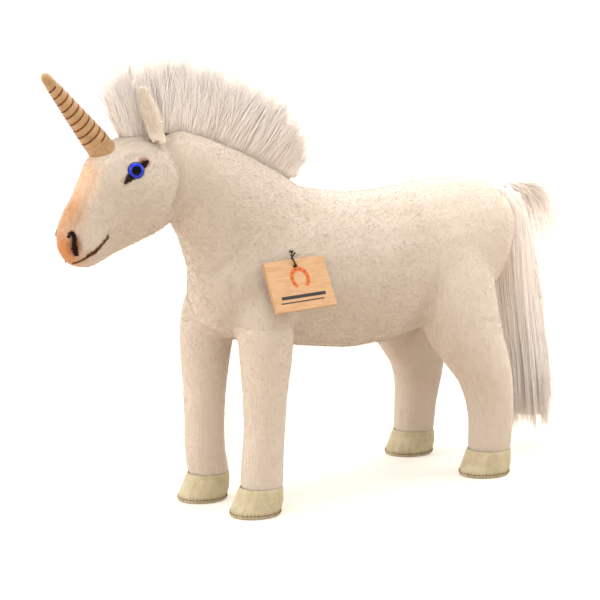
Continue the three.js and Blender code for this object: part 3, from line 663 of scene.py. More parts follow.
@dataclass(frozen=True)
class KnittedPlush:
    """Short woven-back plush: tufts scatter the light, so it is matt, with a pale bloom at its edges.

    Attributes:
        name: The material's name.
        pale: Its lighter colour.
        deep: Its darker colour.
        tuft_mm: A tuft's size in millimetres.
        blotch_mm: The size of its broad patches, in millimetres.
        rib_mm: The distance between woven rows in millimetres, whose troughs get painted shade, or 0 for
            none.
        sprays: The dye laid on it, in order.
    """

    name: str = "woven_mohair_plush_sheared"
    pale: str = "C0B4A6"
    deep: str = "B4A796"
    tuft_mm: float = 1.1
    blotch_mm: float = 34.0
    rib_mm: float = 0.0
    sprays: tuple[Spray, ...] = ()

    def build(self) -> bpy.types.Material:
        """Makes the material.

        Returns:
            The new material.
        """
        material, tree, at = started(self.name)
        tuft = grain(tree, at, self.tuft_mm, 2.0, 0.7)
        blotch = grain(tree, at, self.blotch_mm, 2.0, 0.5)
        fine, broad = maths(tree, "MULTIPLY", tuft, 0.55), maths(tree, "MULTIPLY", blotch, 0.25)
        shade = maths(tree, "ADD", fine, broad)
        colour = mixed(tree, ranged(tree, shade, 0.26, 0.56), linear(self.pale), linear(self.deep))
        for spray in self.sprays:
            colour = spray.over(tree, at, colour, grain(tree, at, 2.2, 3.0))
        height = tuft
        if self.rib_mm:
            split = add(tree, "ShaderNodeSeparateXYZ", {0: at}).outputs
            normal = add(tree, "ShaderNodeNewGeometry").outputs["Normal"]
            facing = add(tree, "ShaderNodeSeparateXYZ", {0: normal}).outputs
            turn = 2 * math.pi * 1000 / self.rib_mm
            waves = [
                maths(
                    tree,
                    "MULTIPLY",
                    maths(tree, "SINE", maths(tree, "MULTIPLY", split[axis], turn)),
                    maths(tree, "POWER", maths(tree, "ABSOLUTE", facing[across]), 2.0),
                )
                for axis, across in ((0, 1), (1, 0))
            ]
            ribs = maths(tree, "ADD", *waves)
            soft, row = maths(tree, "MULTIPLY", tuft, 0.8), maths(tree, "MULTIPLY", ribs, 0.16)
            height = maths(tree, "ADD", soft, row)
            # painted shade: the troughs between rows, where ribs is low, are darkened up to a tenth of the
            # way to B79F84
            dark = ranged(tree, ribs, -1.0, 0.2, 0.10, 0.0)
            colour = mixed(tree, dark, colour, linear("B79F84"))
        closed(
            tree,
            add(
                tree,
                "ShaderNodeBsdfPrincipled",
                {
                    "Base Color": colour,
                    "Roughness": 0.95,
                    "Specular IOR Level": 0.15,
                    "Sheen Weight": 0.6,
                    "Sheen Roughness": 0.45,
                    "Sheen Tint": linear("FFF4EC"),
                    "Normal": bumped(tree, height, 0.4, 0.5),
                },
            ),
        )
        return material


@dataclass(frozen=True)
class LongPile:
    """Long-haired mohair: fine glossy fibres, deeper near the backing and almost white at the tips.

    Attributes:
        name: The material's name.
        root: Its colour at the roots.
        tip: Its colour at the tips.
        low: The height where the roots' colour ends, in metres.
        high: The height where the tips' colour is full, in metres.
        streak_mm: The width of its streaks in millimetres.
        stretch: How the streaks' pattern is scaled along each axis.
        glow: The share of light that it lets through.
    """

    name: str = "long_mohair_pile"
    root: str = "FBF0E4"
    tip: str = "FFFAF5"
    low: float = 0.0
    high: float = 1.0
    streak_mm: float = 5.0
    stretch: tuple[float, float, float] = (1.0, 1.0, 0.12)
    glow: float = 0.12

    def build(self) -> bpy.types.Material:
        """Makes the material.

        Returns:
            The new material.
        """
        material, tree, at = started(self.name)
        placed = add(tree, "ShaderNodeMapping", {"Vector": at, "Scale": self.stretch}).outputs[0]
        streak = grain(tree, placed, self.streak_mm, 3.0)
        fine = grain(tree, placed, 0.9, 2.0)
        height = add(tree, "ShaderNodeSeparateXYZ", {0: at}).outputs[2]
        rise = ranged(tree, height, self.low, self.high)
        along, among = maths(tree, "MULTIPLY", rise, 0.75), maths(tree, "MULTIPLY", streak, 0.35)
        mix = maths(tree, "ADD", along, among)
        colour = mixed(tree, mix, linear(self.root), linear(self.tip))
        normal = bumped(tree, fine, 0.3, 0.5)
        lit = add(
            tree,
            "ShaderNodeBsdfPrincipled",
            {
                "Base Color": colour,
                "Roughness": 0.55,
                "Specular IOR Level": 0.3,
                "Sheen Weight": 0.8,
                "Sheen Roughness": 0.35,
                "Sheen Tint": linear("FFF8F5"),
                "Normal": normal,
            },
        )
        through = add(tree, "ShaderNodeBsdfTranslucent", {"Color": colour, "Normal": normal})
        both = {0: self.glow, 1: lit.outputs[0], 2: through.outputs[0]}
        closed(tree, add(tree, "ShaderNodeMixShader", both))
        return material


@dataclass(frozen=True)
class Suede:
    """Split leather brushed to a nap: matt, with soft clouds where the nap lies differently.

    Attributes:
        name: The material's name.
        light: Its lighter colour.
        dark: Its darker colour.
    """

    name: str = "suede_split_leather"
    light: str = "B6AA8F"
    dark: str = "A59A7A"

    def build(self) -> bpy.types.Material:
        """Makes the material.

        Returns:
            The new material.
        """
        material, tree, at = started(self.name)
        cloud, nap = grain(tree, at, 9.0, 3.0), grain(tree, at, 0.7, 2.0)
        shade = maths(tree, "ADD", maths(tree, "MULTIPLY", cloud, 0.7), maths(tree, "MULTIPLY", nap, 0.4))
        colour = mixed(tree, ranged(tree, shade, 0.4, 0.7), linear(self.light), linear(self.dark))
        closed(
            tree,
            add(
                tree,
                "ShaderNodeBsdfPrincipled",
                {
                    "Base Color": colour,
                    "Roughness": 0.92,
                    "Specular IOR Level": 0.2,
                    "Sheen Weight": 0.3,
                    "Sheen Roughness": 0.5,
                    "Sheen Tint": linear("FFF3DC"),
                    "Normal": bumped(tree, nap, 0.25, 0.6),
                },
            ),
        )
        return material


@dataclass(frozen=True)
class WovenCloth:
    """Plain-woven cotton: a small regular weave, matt.

    Attributes:
        name: The material's name.
        light: Its lighter colour.
        dark: Its darker colour.
        thread_mm: A thread's width in millimetres.
    """

    name: str
    light: str
    dark: str
    thread_mm: float = 0.6

    def build(self) -> bpy.types.Material:
        """Makes the material.

        Returns:
            The new material.
        """
        material, tree, at = started(self.name)
        split = add(tree, "ShaderNodeSeparateXYZ", {0: at}).outputs
        turn = 2 * math.pi * 1000 / self.thread_mm
        slant = maths(tree, "ADD", split[0], split[1])
        warp = maths(tree, "SINE", maths(tree, "MULTIPLY", slant, turn))
        weft = maths(tree, "SINE", maths(tree, "MULTIPLY", split[2], turn))
        weave = maths(tree, "MULTIPLY", warp, weft)
        cloud = grain(tree, at, 7.0, 3.0)
        shade = maths(tree, "ADD", cloud, maths(tree, "MULTIPLY", weave, 0.08))
        colour = mixed(tree, ranged(tree, shade, 0.35, 0.68), linear(self.light), linear(self.dark))
        closed(
            tree,
            add(
                tree,
                "ShaderNodeBsdfPrincipled",
                {
                    "Base Color": colour,
                    "Roughness": 0.85,
                    "Specular IOR Level": 0.25,
                    "Sheen Weight": 0.15,
                    "Normal": bumped(tree, weave, 0.06, 0.5),
                },
            ),
        )
        return material


@dataclass(frozen=True)
class TwistedThread:
    """Twisted yarn: small slanting plies that catch a soft light.

    Attributes:
        name: The material's name.
        light: Its lighter colour.
        dark: Its darker colour.
        ply_mm: The distance between twists in millimetres.
        rough: Its roughness, from 0 to 1.
    """

    name: str
    light: str
    dark: str
    ply_mm: float = 0.5
    rough: float = 0.6

    def build(self) -> bpy.types.Material:
        """Makes the material.

        Returns:
            The new material.
        """
        material, tree, at = started(self.name)
        ply = add(
            tree,
            "ShaderNodeTexWave",
            {"Vector": at, "Scale": 1000 / self.ply_mm / 20, "Distortion": 2.0, "Detail": 1.0},
            bands_direction="DIAGONAL",
        ).outputs[1]
        tone = grain(tree, at, 2.0, 2.0)
        colour = mixed(tree, ranged(tree, tone, 0.35, 0.65), linear(self.light), linear(self.dark))
        closed(
            tree,
            add(
                tree,
                "ShaderNodeBsdfPrincipled",
                {
                    "Base Color": colour,
                    "Roughness": self.rough,
                    "Specular IOR Level": 0.15,
                    "Normal": bumped(tree, ply, 0.1, 0.6),
                },
            ),
        )
        return material


@dataclass(frozen=True)
class Maple:
    """Planed and lightly sanded maple: pale, with long faint growth lines.

    Attributes:
        name: The material's name.
        light: Its lighter colour.
        dark: Its darker colour.
        turned: How its grain is turned, in radians.
    """

    name: str = "maple_board_sanded"
    light: str = "BC966E"
    dark: str = "B0865D"
    turned: tuple[float, float, float] = (0.0, 0.0, 0.0)

    def build(self) -> bpy.types.Material:
        """Makes the material.

        Returns:
            The new material.
        """
        material, tree, at = started(self.name)
        along = add(
            tree,
            "ShaderNodeMapping",
            {"Vector": at, "Rotation": self.turned, "Scale": (0.12, 1.0, 1.0)},
        ).outputs[0]
        ring = grain(tree, along, 3.2, 3.0)
        fleck = grain(tree, along, 0.8, 2.0)
        shade = maths(tree, "ADD", maths(tree, "MULTIPLY", ring, 0.8), maths(tree, "MULTIPLY", fleck, 0.25))
        colour = mixed(tree, ranged(tree, shade, 0.35, 0.72), linear(self.light), linear(self.dark))
        closed(
            tree,
            add(
                tree,
                "ShaderNodeBsdfPrincipled",
                {
                    "Base Color": colour,
                    "Roughness": 0.55,
                    "Normal": bumped(tree, fleck, 0.05, 0.4),
                },
            ),
        )
        return material


@dataclass(frozen=True)
class Glazed:
    """Moulded acrylic for toy eyes: smooth, with a wet gloss.

    Attributes:
        name: The material's name.
        light: Its lighter colour.
        dark: Its darker colour.
        rough: Its roughness, from 0 to 1.
        coat: The weight of its clear coat.
        streak_mm: The width of its streaks in millimetres.
        gloss: Its specular level.
    """

    name: str
    light: str
    dark: str
    rough: float = 0.12
    coat: float = 0.6
    streak_mm: float = 0.6
    gloss: float = 0.5

    def build(self) -> bpy.types.Material:
        """Makes the material.

        Returns:
            The new material.
        """
        material, tree, at = started(self.name)
        tone = grain(tree, at, self.streak_mm, 2.0)
        colour = mixed(tree, ranged(tree, tone, 0.3, 0.7), linear(self.light), linear(self.dark))
        closed(
            tree,
            add(
                tree,
                "ShaderNodeBsdfPrincipled",
                {
                    "Base Color": colour,
                    "Roughness": self.rough,
                    "Specular IOR Level": self.gloss,
                    "Coat Weight": self.coat,
                    "Coat Roughness": 0.03,
                    "Normal": bumped(tree, tone, 0.01, 0.2),
                },
            ),
        )
        return material


@dataclass(frozen=True)
class Wadding:
    """Polyester stuffing: white, lumpy and very matt."""

    name: str = "polyester_fibre_wadding"

    def build(self) -> bpy.types.Material:
        """Makes the material.

        Returns:
            The new material.
        """
        material, tree, at = started(self.name)
        lump, fibre = grain(tree, at, 9.0, 3.0), grain(tree, at, 0.8, 3.0)
        colour = mixed(tree, lump, linear("F4F1EA"), linear("E2DDD2"))
        closed(
            tree,
            add(
                tree,
                "ShaderNodeBsdfPrincipled",
                {"Base Color": colour, "Roughness": 1.0, "Normal": bumped(tree, fibre, 0.5, 0.6)},
            ),
        )
        return material


# ---------------------------------------------------------------- studio


@dataclass
class Studio:
    """The camera, the lights, the plain floor with its painted glow, and the pale surroundings.

    Attributes:
        aim: The point looked at, from the middle of the CAD box, in mm.
        azimuth: The camera's azimuth in degrees.
        elevation: Its elevation in degrees.
        distance: Its distance from the aim in metres.
        lens: Its focal length in mm.
        sensor: Its sensor's width in mm.
    """

    aim: tuple[float, float, float] = (63.158, 42.0, -15.1)
    azimuth: float = 141.8
    elevation: float = 7.7
    distance: float = 1.2
    lens: float = 93.6
    sensor: float = 36.0
    middle: Vector = field(default_factory=Vector)

    def camera(self) -> None:
        """Makes the camera and sets it."""
        low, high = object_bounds()
        self.middle = (low + high) / 2
        a, e = math.radians(self.azimuth), math.radians(self.elevation)
        back = Vector((math.sin(a) * math.cos(e), -math.cos(a) * math.cos(e), math.sin(e)))
        data = bpy.data.cameras.new("camera")
        data.lens, data.sensor_width = self.lens, self.sensor
        data.clip_start, data.clip_end = 0.01, 50.0
        eye = bpy.data.objects.new("camera", data)
        eye.rotation_mode = "QUATERNION"
        eye.location = self.middle + vec(self.aim) + back * self.distance
        eye.rotation_quaternion = (-back).to_track_quat("-Z", "Y")
        bpy.context.scene.collection.objects.link(eye)
        bpy.context.scene.camera = eye

    def softbox(self, name: str, at: Point, size: float, power: float, tint: str) -> None:
        """Hangs one large soft light that looks at the object's middle.

        Args:
            name: The light's name.
            at: Its place from the object's middle, in metres.
            size: The side of its square, in metres.
            power: Its power in watts.
            tint: Its sRGB colour.
        """
        data = bpy.data.lights.new(name, "AREA")
        data.shape, data.size, data.energy = "SQUARE", size, power
        data.color = linear(tint)[:3]
        light = bpy.data.objects.new(name, data)
        light.location = self.middle + Vector(at)
        light.rotation_mode = "QUATERNION"
        light.rotation_quaternion = (-Vector(at)).to_track_quat("-Z", "Y")
        bpy.context.scene.collection.objects.link(light)

    def room(self) -> None:
        """Makes the floor, the lights and the surroundings."""
        bpy.context.scene.view_settings.view_transform = "Standard"
        bm = bmesh.new()
        bmesh.ops.create_grid(bm, x_segments=4, y_segments=4, size=9.0)
        floor = from_bmesh("floor", bm)
        floor.location.z = -0.0002
        material, tree, at = started("painted_studio_floor")
        dust = ranged(tree, grain(tree, at, 60.0, 2.0), 0.0, 1.0, 0.0, 1.0)
        seen = add(tree, "ShaderNodeLightPath").outputs["Is Camera Ray"]
        paint = mixed(tree, dust, linear("CABEB1"), linear("C7BBAE"))
        far = add(tree, "ShaderNodeVectorMath", {0: at}, operation="LENGTH").outputs["Value"]
        # painted light: the floor glows for camera rays alone, at 0.34 within 0.35 m of its origin so that
        # the shadows by the hooves show, rising to 0.75 by 1.5 m, where the lamps' light falls off
        glow = ranged(tree, far, 0.35, 1.5, 0.34, 0.75)
        closed(
            tree,
            add(
                tree,
                "ShaderNodeBsdfPrincipled",
                {
                    "Base Color": paint,
                    "Roughness": 0.9,
                    "Specular IOR Level": 0.0,
                    "Emission Color": (1.0, 0.99, 0.98, 1.0),
                    "Emission Strength": maths(tree, "MULTIPLY", seen, glow),
                },
            ),
        )
        floor.data.materials.append(material)
        floor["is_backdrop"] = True
        self.softbox("overhead", (0.0, 0.0, 1.6), 1.6, 42.0, "FFFBF8")
        self.softbox("rear", (-1.5, -0.9, 0.8), 1.3, 26.0, "FFFBF8")
        self.softbox("far_side", (1.3, -1.0, 0.7), 1.2, 18.0, "FFF9F6")
        self.softbox("tail_side", (-1.6, 0.7, 0.6), 1.0, 14.0, "FFFAF6")
        self.softbox("front", (1.5, 0.6, 0.5), 1.0, 9.0, "FFFAF6")
        world = bpy.data.worlds.new("surroundings")
        bpy.context.scene.world = world
        world.use_nodes = True
        tree = world.node_tree
        tree.nodes.clear()
        seen = add(tree, "ShaderNodeLightPath").outputs["Is Camera Ray"]
        strength = ranged(tree, seen, 0.0, 1.0, 0.88, 1.05)
        sky = add(tree, "ShaderNodeBackground", {"Color": (1.0, 1.0, 1.0, 1.0), "Strength": strength})
        add(tree, "ShaderNodeOutputWorld", {"Surface": sky.outputs[0]})
        log.info("studio ready")


# ---------------------------------------------------------------- short pile


def furred(
    name: str,
    under: bpy.types.Mesh,
    density: float,
    length: float,
    thick: float,
    lay: Point,
    seed: int,
    stand: float = 0.5,
) -> bpy.types.Object:
    """Plants short tapering fibres over a surface.

    Args:
        name: The piece's name.
        under: The surface that they grow from.
        density: Fibres per square millimetre.
        length: Their mean length in metres.
        thick: Their radius at the root in metres.
        lay: The way that they lean, in the row frame.
        seed: The seed of their places.
        stand: How upright they are, against their lean.

    Returns:
        The new object.
    """
    rng = np.random.default_rng(seed)
    under.calc_loop_triangles()
    tris = np.empty(len(under.loop_triangles) * 3, np.int64)
    under.loop_triangles.foreach_get("vertices", tris)
    tris = tris.reshape(-1, 3)
    points, directions = coords(under), normals(under)
    p, q, r = (points[tris[:, k]] for k in range(3))
    area = np.linalg.norm(np.cross(q - p, r - p), axis=1) / 2
    count = int(area.sum() * 1e6 * density)
    pick = rng.choice(len(tris), count, p=area / area.sum())
    u, v = rng.random((2, count, 1))
    flip = (u + v) > 1
    u, v = np.where(flip, 1 - u, u), np.where(flip, 1 - v, v)
    w = 1 - u - v
    root = u * p[pick] + v * q[pick] + w * r[pick]
    out = sum(k * directions[tris[pick, i]] for i, k in enumerate((u, v, w)))
    out /= np.linalg.norm(out, axis=1, keepdims=True) + 1e-12
    lean = np.array(lay, float)
    lean = lean - (out @ lean)[:, None] * out
    way = stand * out + 0.45 * lean + rng.normal(0, 0.22, (count, 3))
    way /= np.linalg.norm(way, axis=1, keepdims=True)
    side = np.cross(way, rng.normal(0, 1, (count, 3)))
    side /= np.linalg.norm(side, axis=1, keepdims=True) + 1e-12
    other = np.cross(way, side)
    long = length * (0.55 + 0.75 * rng.random((count, 1)))
    root = root - 0.15 * length * out
    verts = np.empty((count, 4, 3))
    for k in range(3):
        a = 2 * math.pi * k / 3
        verts[:, k] = root + thick * (math.cos(a) * side + math.sin(a) * other)
    verts[:, 3] = root + long * way
    base = (4 * np.arange(count))[:, None, None]
    faces = (base + np.array([[0, 1, 3], [1, 2, 3], [2, 0, 3], [0, 2, 1]])[None]).reshape(-1, 3)
    mesh = bpy.data.meshes.new(name)
    mesh.vertices.add(4 * count)
    mesh.vertices.foreach_set("co", verts.astype(np.float32).ravel())
    mesh.loops.add(3 * len(faces))
    mesh.loops.foreach_set("vertex_index", faces.astype(np.int32).ravel())
    mesh.polygons.add(len(faces))
    mesh.polygons.foreach_set("loop_start", 3 * np.arange(len(faces), dtype=np.int32))
    mesh.update(calc_edges=True)
    mesh.validate()
    return smooth_shaded(new_object(name, mesh))


# ---------------------------------------------------------------- the sewn hide


@dataclass(frozen=True)
class Crease:
    """A soft line pressed or sewn into the stuffed hide, on both flanks.

    Attributes:
        through: Its points on the left side, in millimetres in the row frame.
        depth: How deep it is, in millimetres.
        width: How wide it is, in millimetres.
    """

    through: tuple[Point, ...]
    depth: float
    width: float

    def press(self, points: np.ndarray) -> np.ndarray:
        """Works out how far each point is pushed in.

        Args:
            points: The surface's points in metres.

        Returns:
            One depth for each point, in metres.
        """
        line = np.array([list(p) for p in spline_through([vec(q) for q in self.through], 60)])
        near = np.full(len(points), 1e9)
        for side in (1, -1):
            for q in line * np.array([1, side, 1]):
                near = np.minimum(near, ((points - q) ** 2).sum(1))
        return self.depth * MM * np.exp(-near / (self.width * MM / 1.6) ** 2)


@dataclass
class Hide:
    """The outer cover: eleven panels of plush over the stuffing, one surface cut apart at its seams.

    Attributes:
        voxel: The step of its surface in metres.
        wall: The cloth's thickness in metres.
        swell: How far the stuffing is grown to meet it, in metres.
        cuff: The height of the leg's open end in metres.
        seam_depth: How deep the seams pull in, in metres.
        seam_width: How far from a seam the pull reaches, in metres.
        ironing: How many rounds take the CAD's facets out.
    """

    voxel: float = 1.9 * MM
    wall: float = 1.3 * MM
    swell: float = 1.5 * MM
    cuff: float = 20.9 * MM
    seam_depth: float = 0.42 * MM
    seam_width: float = 2.0 * MM
    ironing: int = 44
    panels: tuple[str, ...] = (
        "body_panel_left",
        "body_panel_right",
        "belly_gusset",
        "chest_panel",
        "front_left_leg_skin",
        "front_right_leg_skin",
        "hind_left_quarter_skin",
        "hind_right_quarter_skin",
        "face_strip",
        "cheek_left",
        "cheek_right",
    )
    stuffing: tuple[str, ...] = (
        "body_filling",
        "head_filling",
        "rump_filling",
        "front_left_leg_filling",
        "front_right_leg_filling",
        "hind_left_leg_filling",
        "hind_right_leg_filling",
    )
    creases: tuple[Crease, ...] = (
        Crease(
            ((163.5, 12, 284), (161.8, 19, 276), (157.5, 23, 260), (160.5, 22, 246), (166.5, 19, 234)),
            2.6,
            6.5,
        ),
        Crease(((187, 20, 276.5), (193, 20.5, 278.5), (200, 19.5, 277.0)), 1.2, 3.2),
        Crease(
            ((93.4, 33.8, 221.6), (106, 30, 209), (119.8, 25.1, 196.8), (127.2, 17.2, 189), (133.9, 5, 193)),
            1.0,
            2.2,
        ),
        Crease(
            ((56, 50, 152), (75, 52.5, 153), (90, 52.3, 150), (103, 46, 152), (110, 34, 146)),
            1.0,
            2.0,
        ),
        Crease(((-110, 58, 128), (-126, 62, 134), (-141, 60, 131)), 0.9, 4.0),
        Crease(((-118, 57, 117), (-133, 60, 122), (-146, 58, 119)), 0.8, 4.0),
        Crease(((118, 30, 176), (111, 38, 163), (104, 45, 150)), 1.2, 5.0),
    )
    surface: Optional[bpy.types.Object] = None
    labels: Optional[np.ndarray] = None
    tree: Optional[BVHTree] = None

    def sew(self) -> None:
        """Makes the one outer surface, smooths it and presses its seams and creases in."""
        grow = {node: self.swell for node in self.stuffing}
        bm = copied([*self.panels, *self.stuffing], grow)
        self.surface = remeshed("hide", bm, self.voxel)
        mesh = self.surface.data
        relaxed(mesh, 6)
        faired(mesh, self.ironing, self.cuff + 5 * MM, self.cuff + 20 * MM)
        cut = bmesh.new()
        cut.from_mesh(mesh)
        bmesh.ops.bisect_plane(
            cut,
            geom=[*cut.verts, *cut.edges, *cut.faces],
            plane_co=(0, 0, self.cuff),
            plane_no=(0, 0, -1),
            clear_outer=True,
        )
        cut.to_mesh(mesh)
        cut.free()
        labels = self.labelled(mesh)
        self.seamed(mesh, labels)
        self.labels = labels
        self.tree = BVHTree.FromPolygons(
            [v.co.copy() for v in mesh.vertices], [list(p.vertices) for p in mesh.polygons]
        )
        log.info("hide surface: %d faces", len(mesh.polygons))

    def labelled(self, mesh: bpy.types.Mesh) -> np.ndarray:
        """Says which panel each face belongs to, by the nearest cut piece of cloth.

        Args:
            mesh: The outer surface.

        Returns:
            A panel number for each face.
        """
        points, faces, owner = [], [], []
        for number, node in enumerate(self.panels):
            data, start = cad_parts[node].data, len(points)
            points += [v.co.copy() for v in data.vertices]
            for poly in data.polygons:
                faces.append([start + k for k in poly.vertices])
                owner.append(number)
        tree = BVHTree.FromPolygons(points, faces)
        labels = np.array([owner[tree.find_nearest(p.center)[2]] for p in mesh.polygons])
        edges: dict[tuple[int, int], list[int]] = {}
        for p in mesh.polygons:
            for key in p.edge_keys:
                edges.setdefault(key, []).append(p.index)
        pairs = np.array([k for k in edges.values() if len(k) == 2])
        for _ in range(4):
            votes = np.zeros((len(labels), len(self.panels)))
            votes[np.arange(len(labels)), labels] += 1.5
            np.add.at(votes, (pairs[:, 0], labels[pairs[:, 1]]), 1)
            np.add.at(votes, (pairs[:, 1], labels[pairs[:, 0]]), 1)
            labels = votes.argmax(1)
        return labels

    def seamed(self, mesh: bpy.types.Mesh, labels: np.ndarray) -> None:
        """Straightens the panels' edges and pulls the surface in along them and along the creases.

        Args:
            mesh: The outer surface.
            labels: Each face's panel.
        """
        border: dict[int, set[int]] = {}
        edges: dict[tuple[int, int], list[int]] = {}
        for p in mesh.polygons:
            for key in p.edge_keys:
                edges.setdefault(key, []).append(labels[p.index])
        for (a, b), owners in edges.items():
            if len(owners) == 2 and owners[0] != owners[1]:
                border.setdefault(a, set()).add(b)
                border.setdefault(b, set()).add(a)
        points = coords(mesh)
        keys = sorted(border)
        for _ in range(8):
            moved = {k: points[sorted(border[k])].mean(0) for k in keys if len(border[k]) > 1}
            for k, mean in moved.items():
                points[k] = 0.5 * points[k] + 0.5 * mean
        set_coords(mesh, points)
        near = KDTree(len(keys))
        for n, k in enumerate(keys):
            near.insert(points[k], n)
        near.balance()
        far = np.array([near.find(p)[2] for p in points])
        out = normals(mesh)
        push = self.seam_depth * np.exp(-((far / self.seam_width) ** 2))
        push -= 0.15 * MM * np.exp(-(((far - 5 * MM) / (2.6 * MM)) ** 2))
        for crease in self.creases:
            push = np.maximum(push, crease.press(points))
        set_coords(mesh, points - out * push[:, None])
        relaxed(mesh, 1)

    def nearest(self, point: Point) -> tuple[Vector, Vector]:
        """The nearest place on the hide and its outward direction."""
        at, out, _, _ = self.tree.find_nearest(Vector(point))
        return at, out

    def cut(
        self, plain: bpy.types.Material, ribbed: bpy.types.Material, dyed: bpy.types.Material
    ) -> None:
        """Cuts the surface into its panels, gives each its wall and its pile, and dresses them.

        Args:
            plain: The body's plush.
            ribbed: The legs' plush, whose rows show.
            dyed: The head's plush, with the airbrushed dye.
        """
        for number, node in enumerate(self.panels):
            mesh = self.surface.data.copy()
            bm = bmesh.new()
            bm.from_mesh(mesh)
            bm.faces.ensure_lookup_table()
            other = [f for f, label in zip(bm.faces, self.labels) if label != number]
            bmesh.ops.delete(bm, geom=other, context="FACES")
            panel = from_bmesh(f"{node}_plush", bm)
            bpy.data.meshes.remove(mesh)
            head = node in ("face_strip", "cheek_left", "cheek_right")
            leg = "leg" in node or "quarter" in node
            material = dyed if head else ribbed if leg else plain
            pile = furred(
                f"{node}_pile",
                panel.data,
                1.0 if head else 0.68,
                (1.7 if head or leg else 2.0) * MM,
                0.11 * MM,
                (-0.5, 0, -0.86),
                SEED + number,
            )
            stray = furred(
                f"{node}_stray_pile",
                panel.data,
                0.15,
                (2.6 if leg or head else 4.0) * MM,
                0.085 * MM,
                (-0.4, 0, -0.5),
                SEED + 60 + number,
            )
            ridden(stray, Body.ROOT, material)
            wall = panel.modifiers.new("wall", "SOLIDIFY")
            wall.thickness, wall.offset = self.wall, -1.0
            baked(panel)
            smooth_shaded(panel, 0.9)
            ridden(panel, Body.ROOT, material, [node])
            ridden(pile, Body.ROOT, material)
        bpy.data.objects.remove(self.surface)


@dataclass
class Stuffing:
    """The wadding inside: each lump is a little slacker than its room.

    Attributes:
        voxel: The step of its surface in metres.
        sink: How far it stands back, in metres.
    """

    voxel: float = 3.2 * MM
    sink: float = 0.3 * MM

    def fill(self, nodes: Sequence[str], material: bpy.types.Material) -> None:
        """Makes each lump of wadding and dresses it.

        Args:
            nodes: The CAD nodes of the stuffing.
            material: The wadding's finish.
        """
        for number, node in enumerate(nodes):
            lump = remeshed(f"{node}_wadding", copied([node]), self.voxel)
            relaxed(lump.data, 2)
            rng = np.random.default_rng(SEED + number)
            out = normals(lump.data)
            dent = self.sink * (0.5 + rng.random((len(out), 1)))
            set_coords(lump.data, coords(lump.data) - out * dent)
            ridden(smooth_shaded(lump), Body.ROOT, material, [node])


# ---------------------------------------------------------------- hooves


@dataclass
class Hoof:
    """A suede hoof: a wall sewn round a sole with a visible overcast stitch.

    Attributes:
        corner: Which leg it is on, as in the CAD nodes' names.
        voxel: The step of its surface in metres.
        stitches: How many stitches run round the sole.
        yarn: The stitches' radius in metres.
    """

    corner: str
    voxel: float = 0.95 * MM
    stitches: int = 44
    yarn: float = 0.28 * MM

    def make(self, suede: bpy.types.Material, thread: bpy.types.Material) -> None:
        """Makes the wall, the sole and the stitches, and dresses them.

        Args:
            suede: The finish of the wall and the sole.
            thread: The finish of the stitches.
        """
        wall_node, sole_node = f"{self.corner}_hoof_wall", f"{self.corner}_hoof_sole"
        wall = remeshed(f"{self.corner}_hoof_wall_suede", copied([wall_node]), self.voxel)
        relaxed(wall.data, 8)
        low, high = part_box(wall_node)
        middle = (low + high) / 2
        points, out = coords(wall.data), normals(wall.data)
        share = (points[:, 2] - low.z) / (high.z - low.z)
        angle = np.arctan2(points[:, 1] - middle.y, points[:, 0] - middle.x)
        pucker = np.exp(-((share - 0.0) / 0.16) ** 2) * (0.25 + 0.22 * np.cos(angle * self.stitches))
        pucker += 1.10 * np.exp(-((share - 1.0) / 0.10) ** 2)
        flat = out.copy()
        flat[:, 2] = 0
        set_coords(wall.data, points - flat * (pucker * 0.7 * MM)[:, None])
        sole = remeshed(f"{self.corner}_hoof_sole_suede", copied([sole_node]), self.voxel * 0.7)
        relaxed(sole.data, 4)
        tree = BVHTree.FromPolygons(
            [v.co.copy() for v in wall.data.vertices], [list(p.vertices) for p in wall.data.polygons]
        )
        lines, radii = [], []
        for k in range(self.stitches):
            a = 2 * math.pi * k / self.stitches
            way = Vector((math.cos(a), math.sin(a), 0))
            hits = []
            for height, out_by in ((4.6, 0.05), (3.4, 0.35), (2.5, 0.45), (1.4, 0.2)):
                start = Vector((middle.x, middle.y, max(height, 3.4) * MM)) + way * 60 * MM
                found = tree.ray_cast(start, -way)[0]
                if found:
                    hits.append(Vector((found.x, found.y, height * MM)) + way * out_by * MM)
            if len(hits) == 4:
                lines.append(hits)
                radii.append([self.yarn * 0.8, self.yarn, self.yarn, self.yarn * 0.8])
        seam = tubes(f"{self.corner}_hoof_overcast_seam", lines, radii)
        ridden(smooth_shaded(wall), Body.ROOT, suede, [wall_node])
        ridden(smooth_shaded(sole, 0.9), Body.ROOT, suede, [sole_node])
        ridden(seam, Body.ROOT, thread)


# ---------------------------------------------------------------- horn


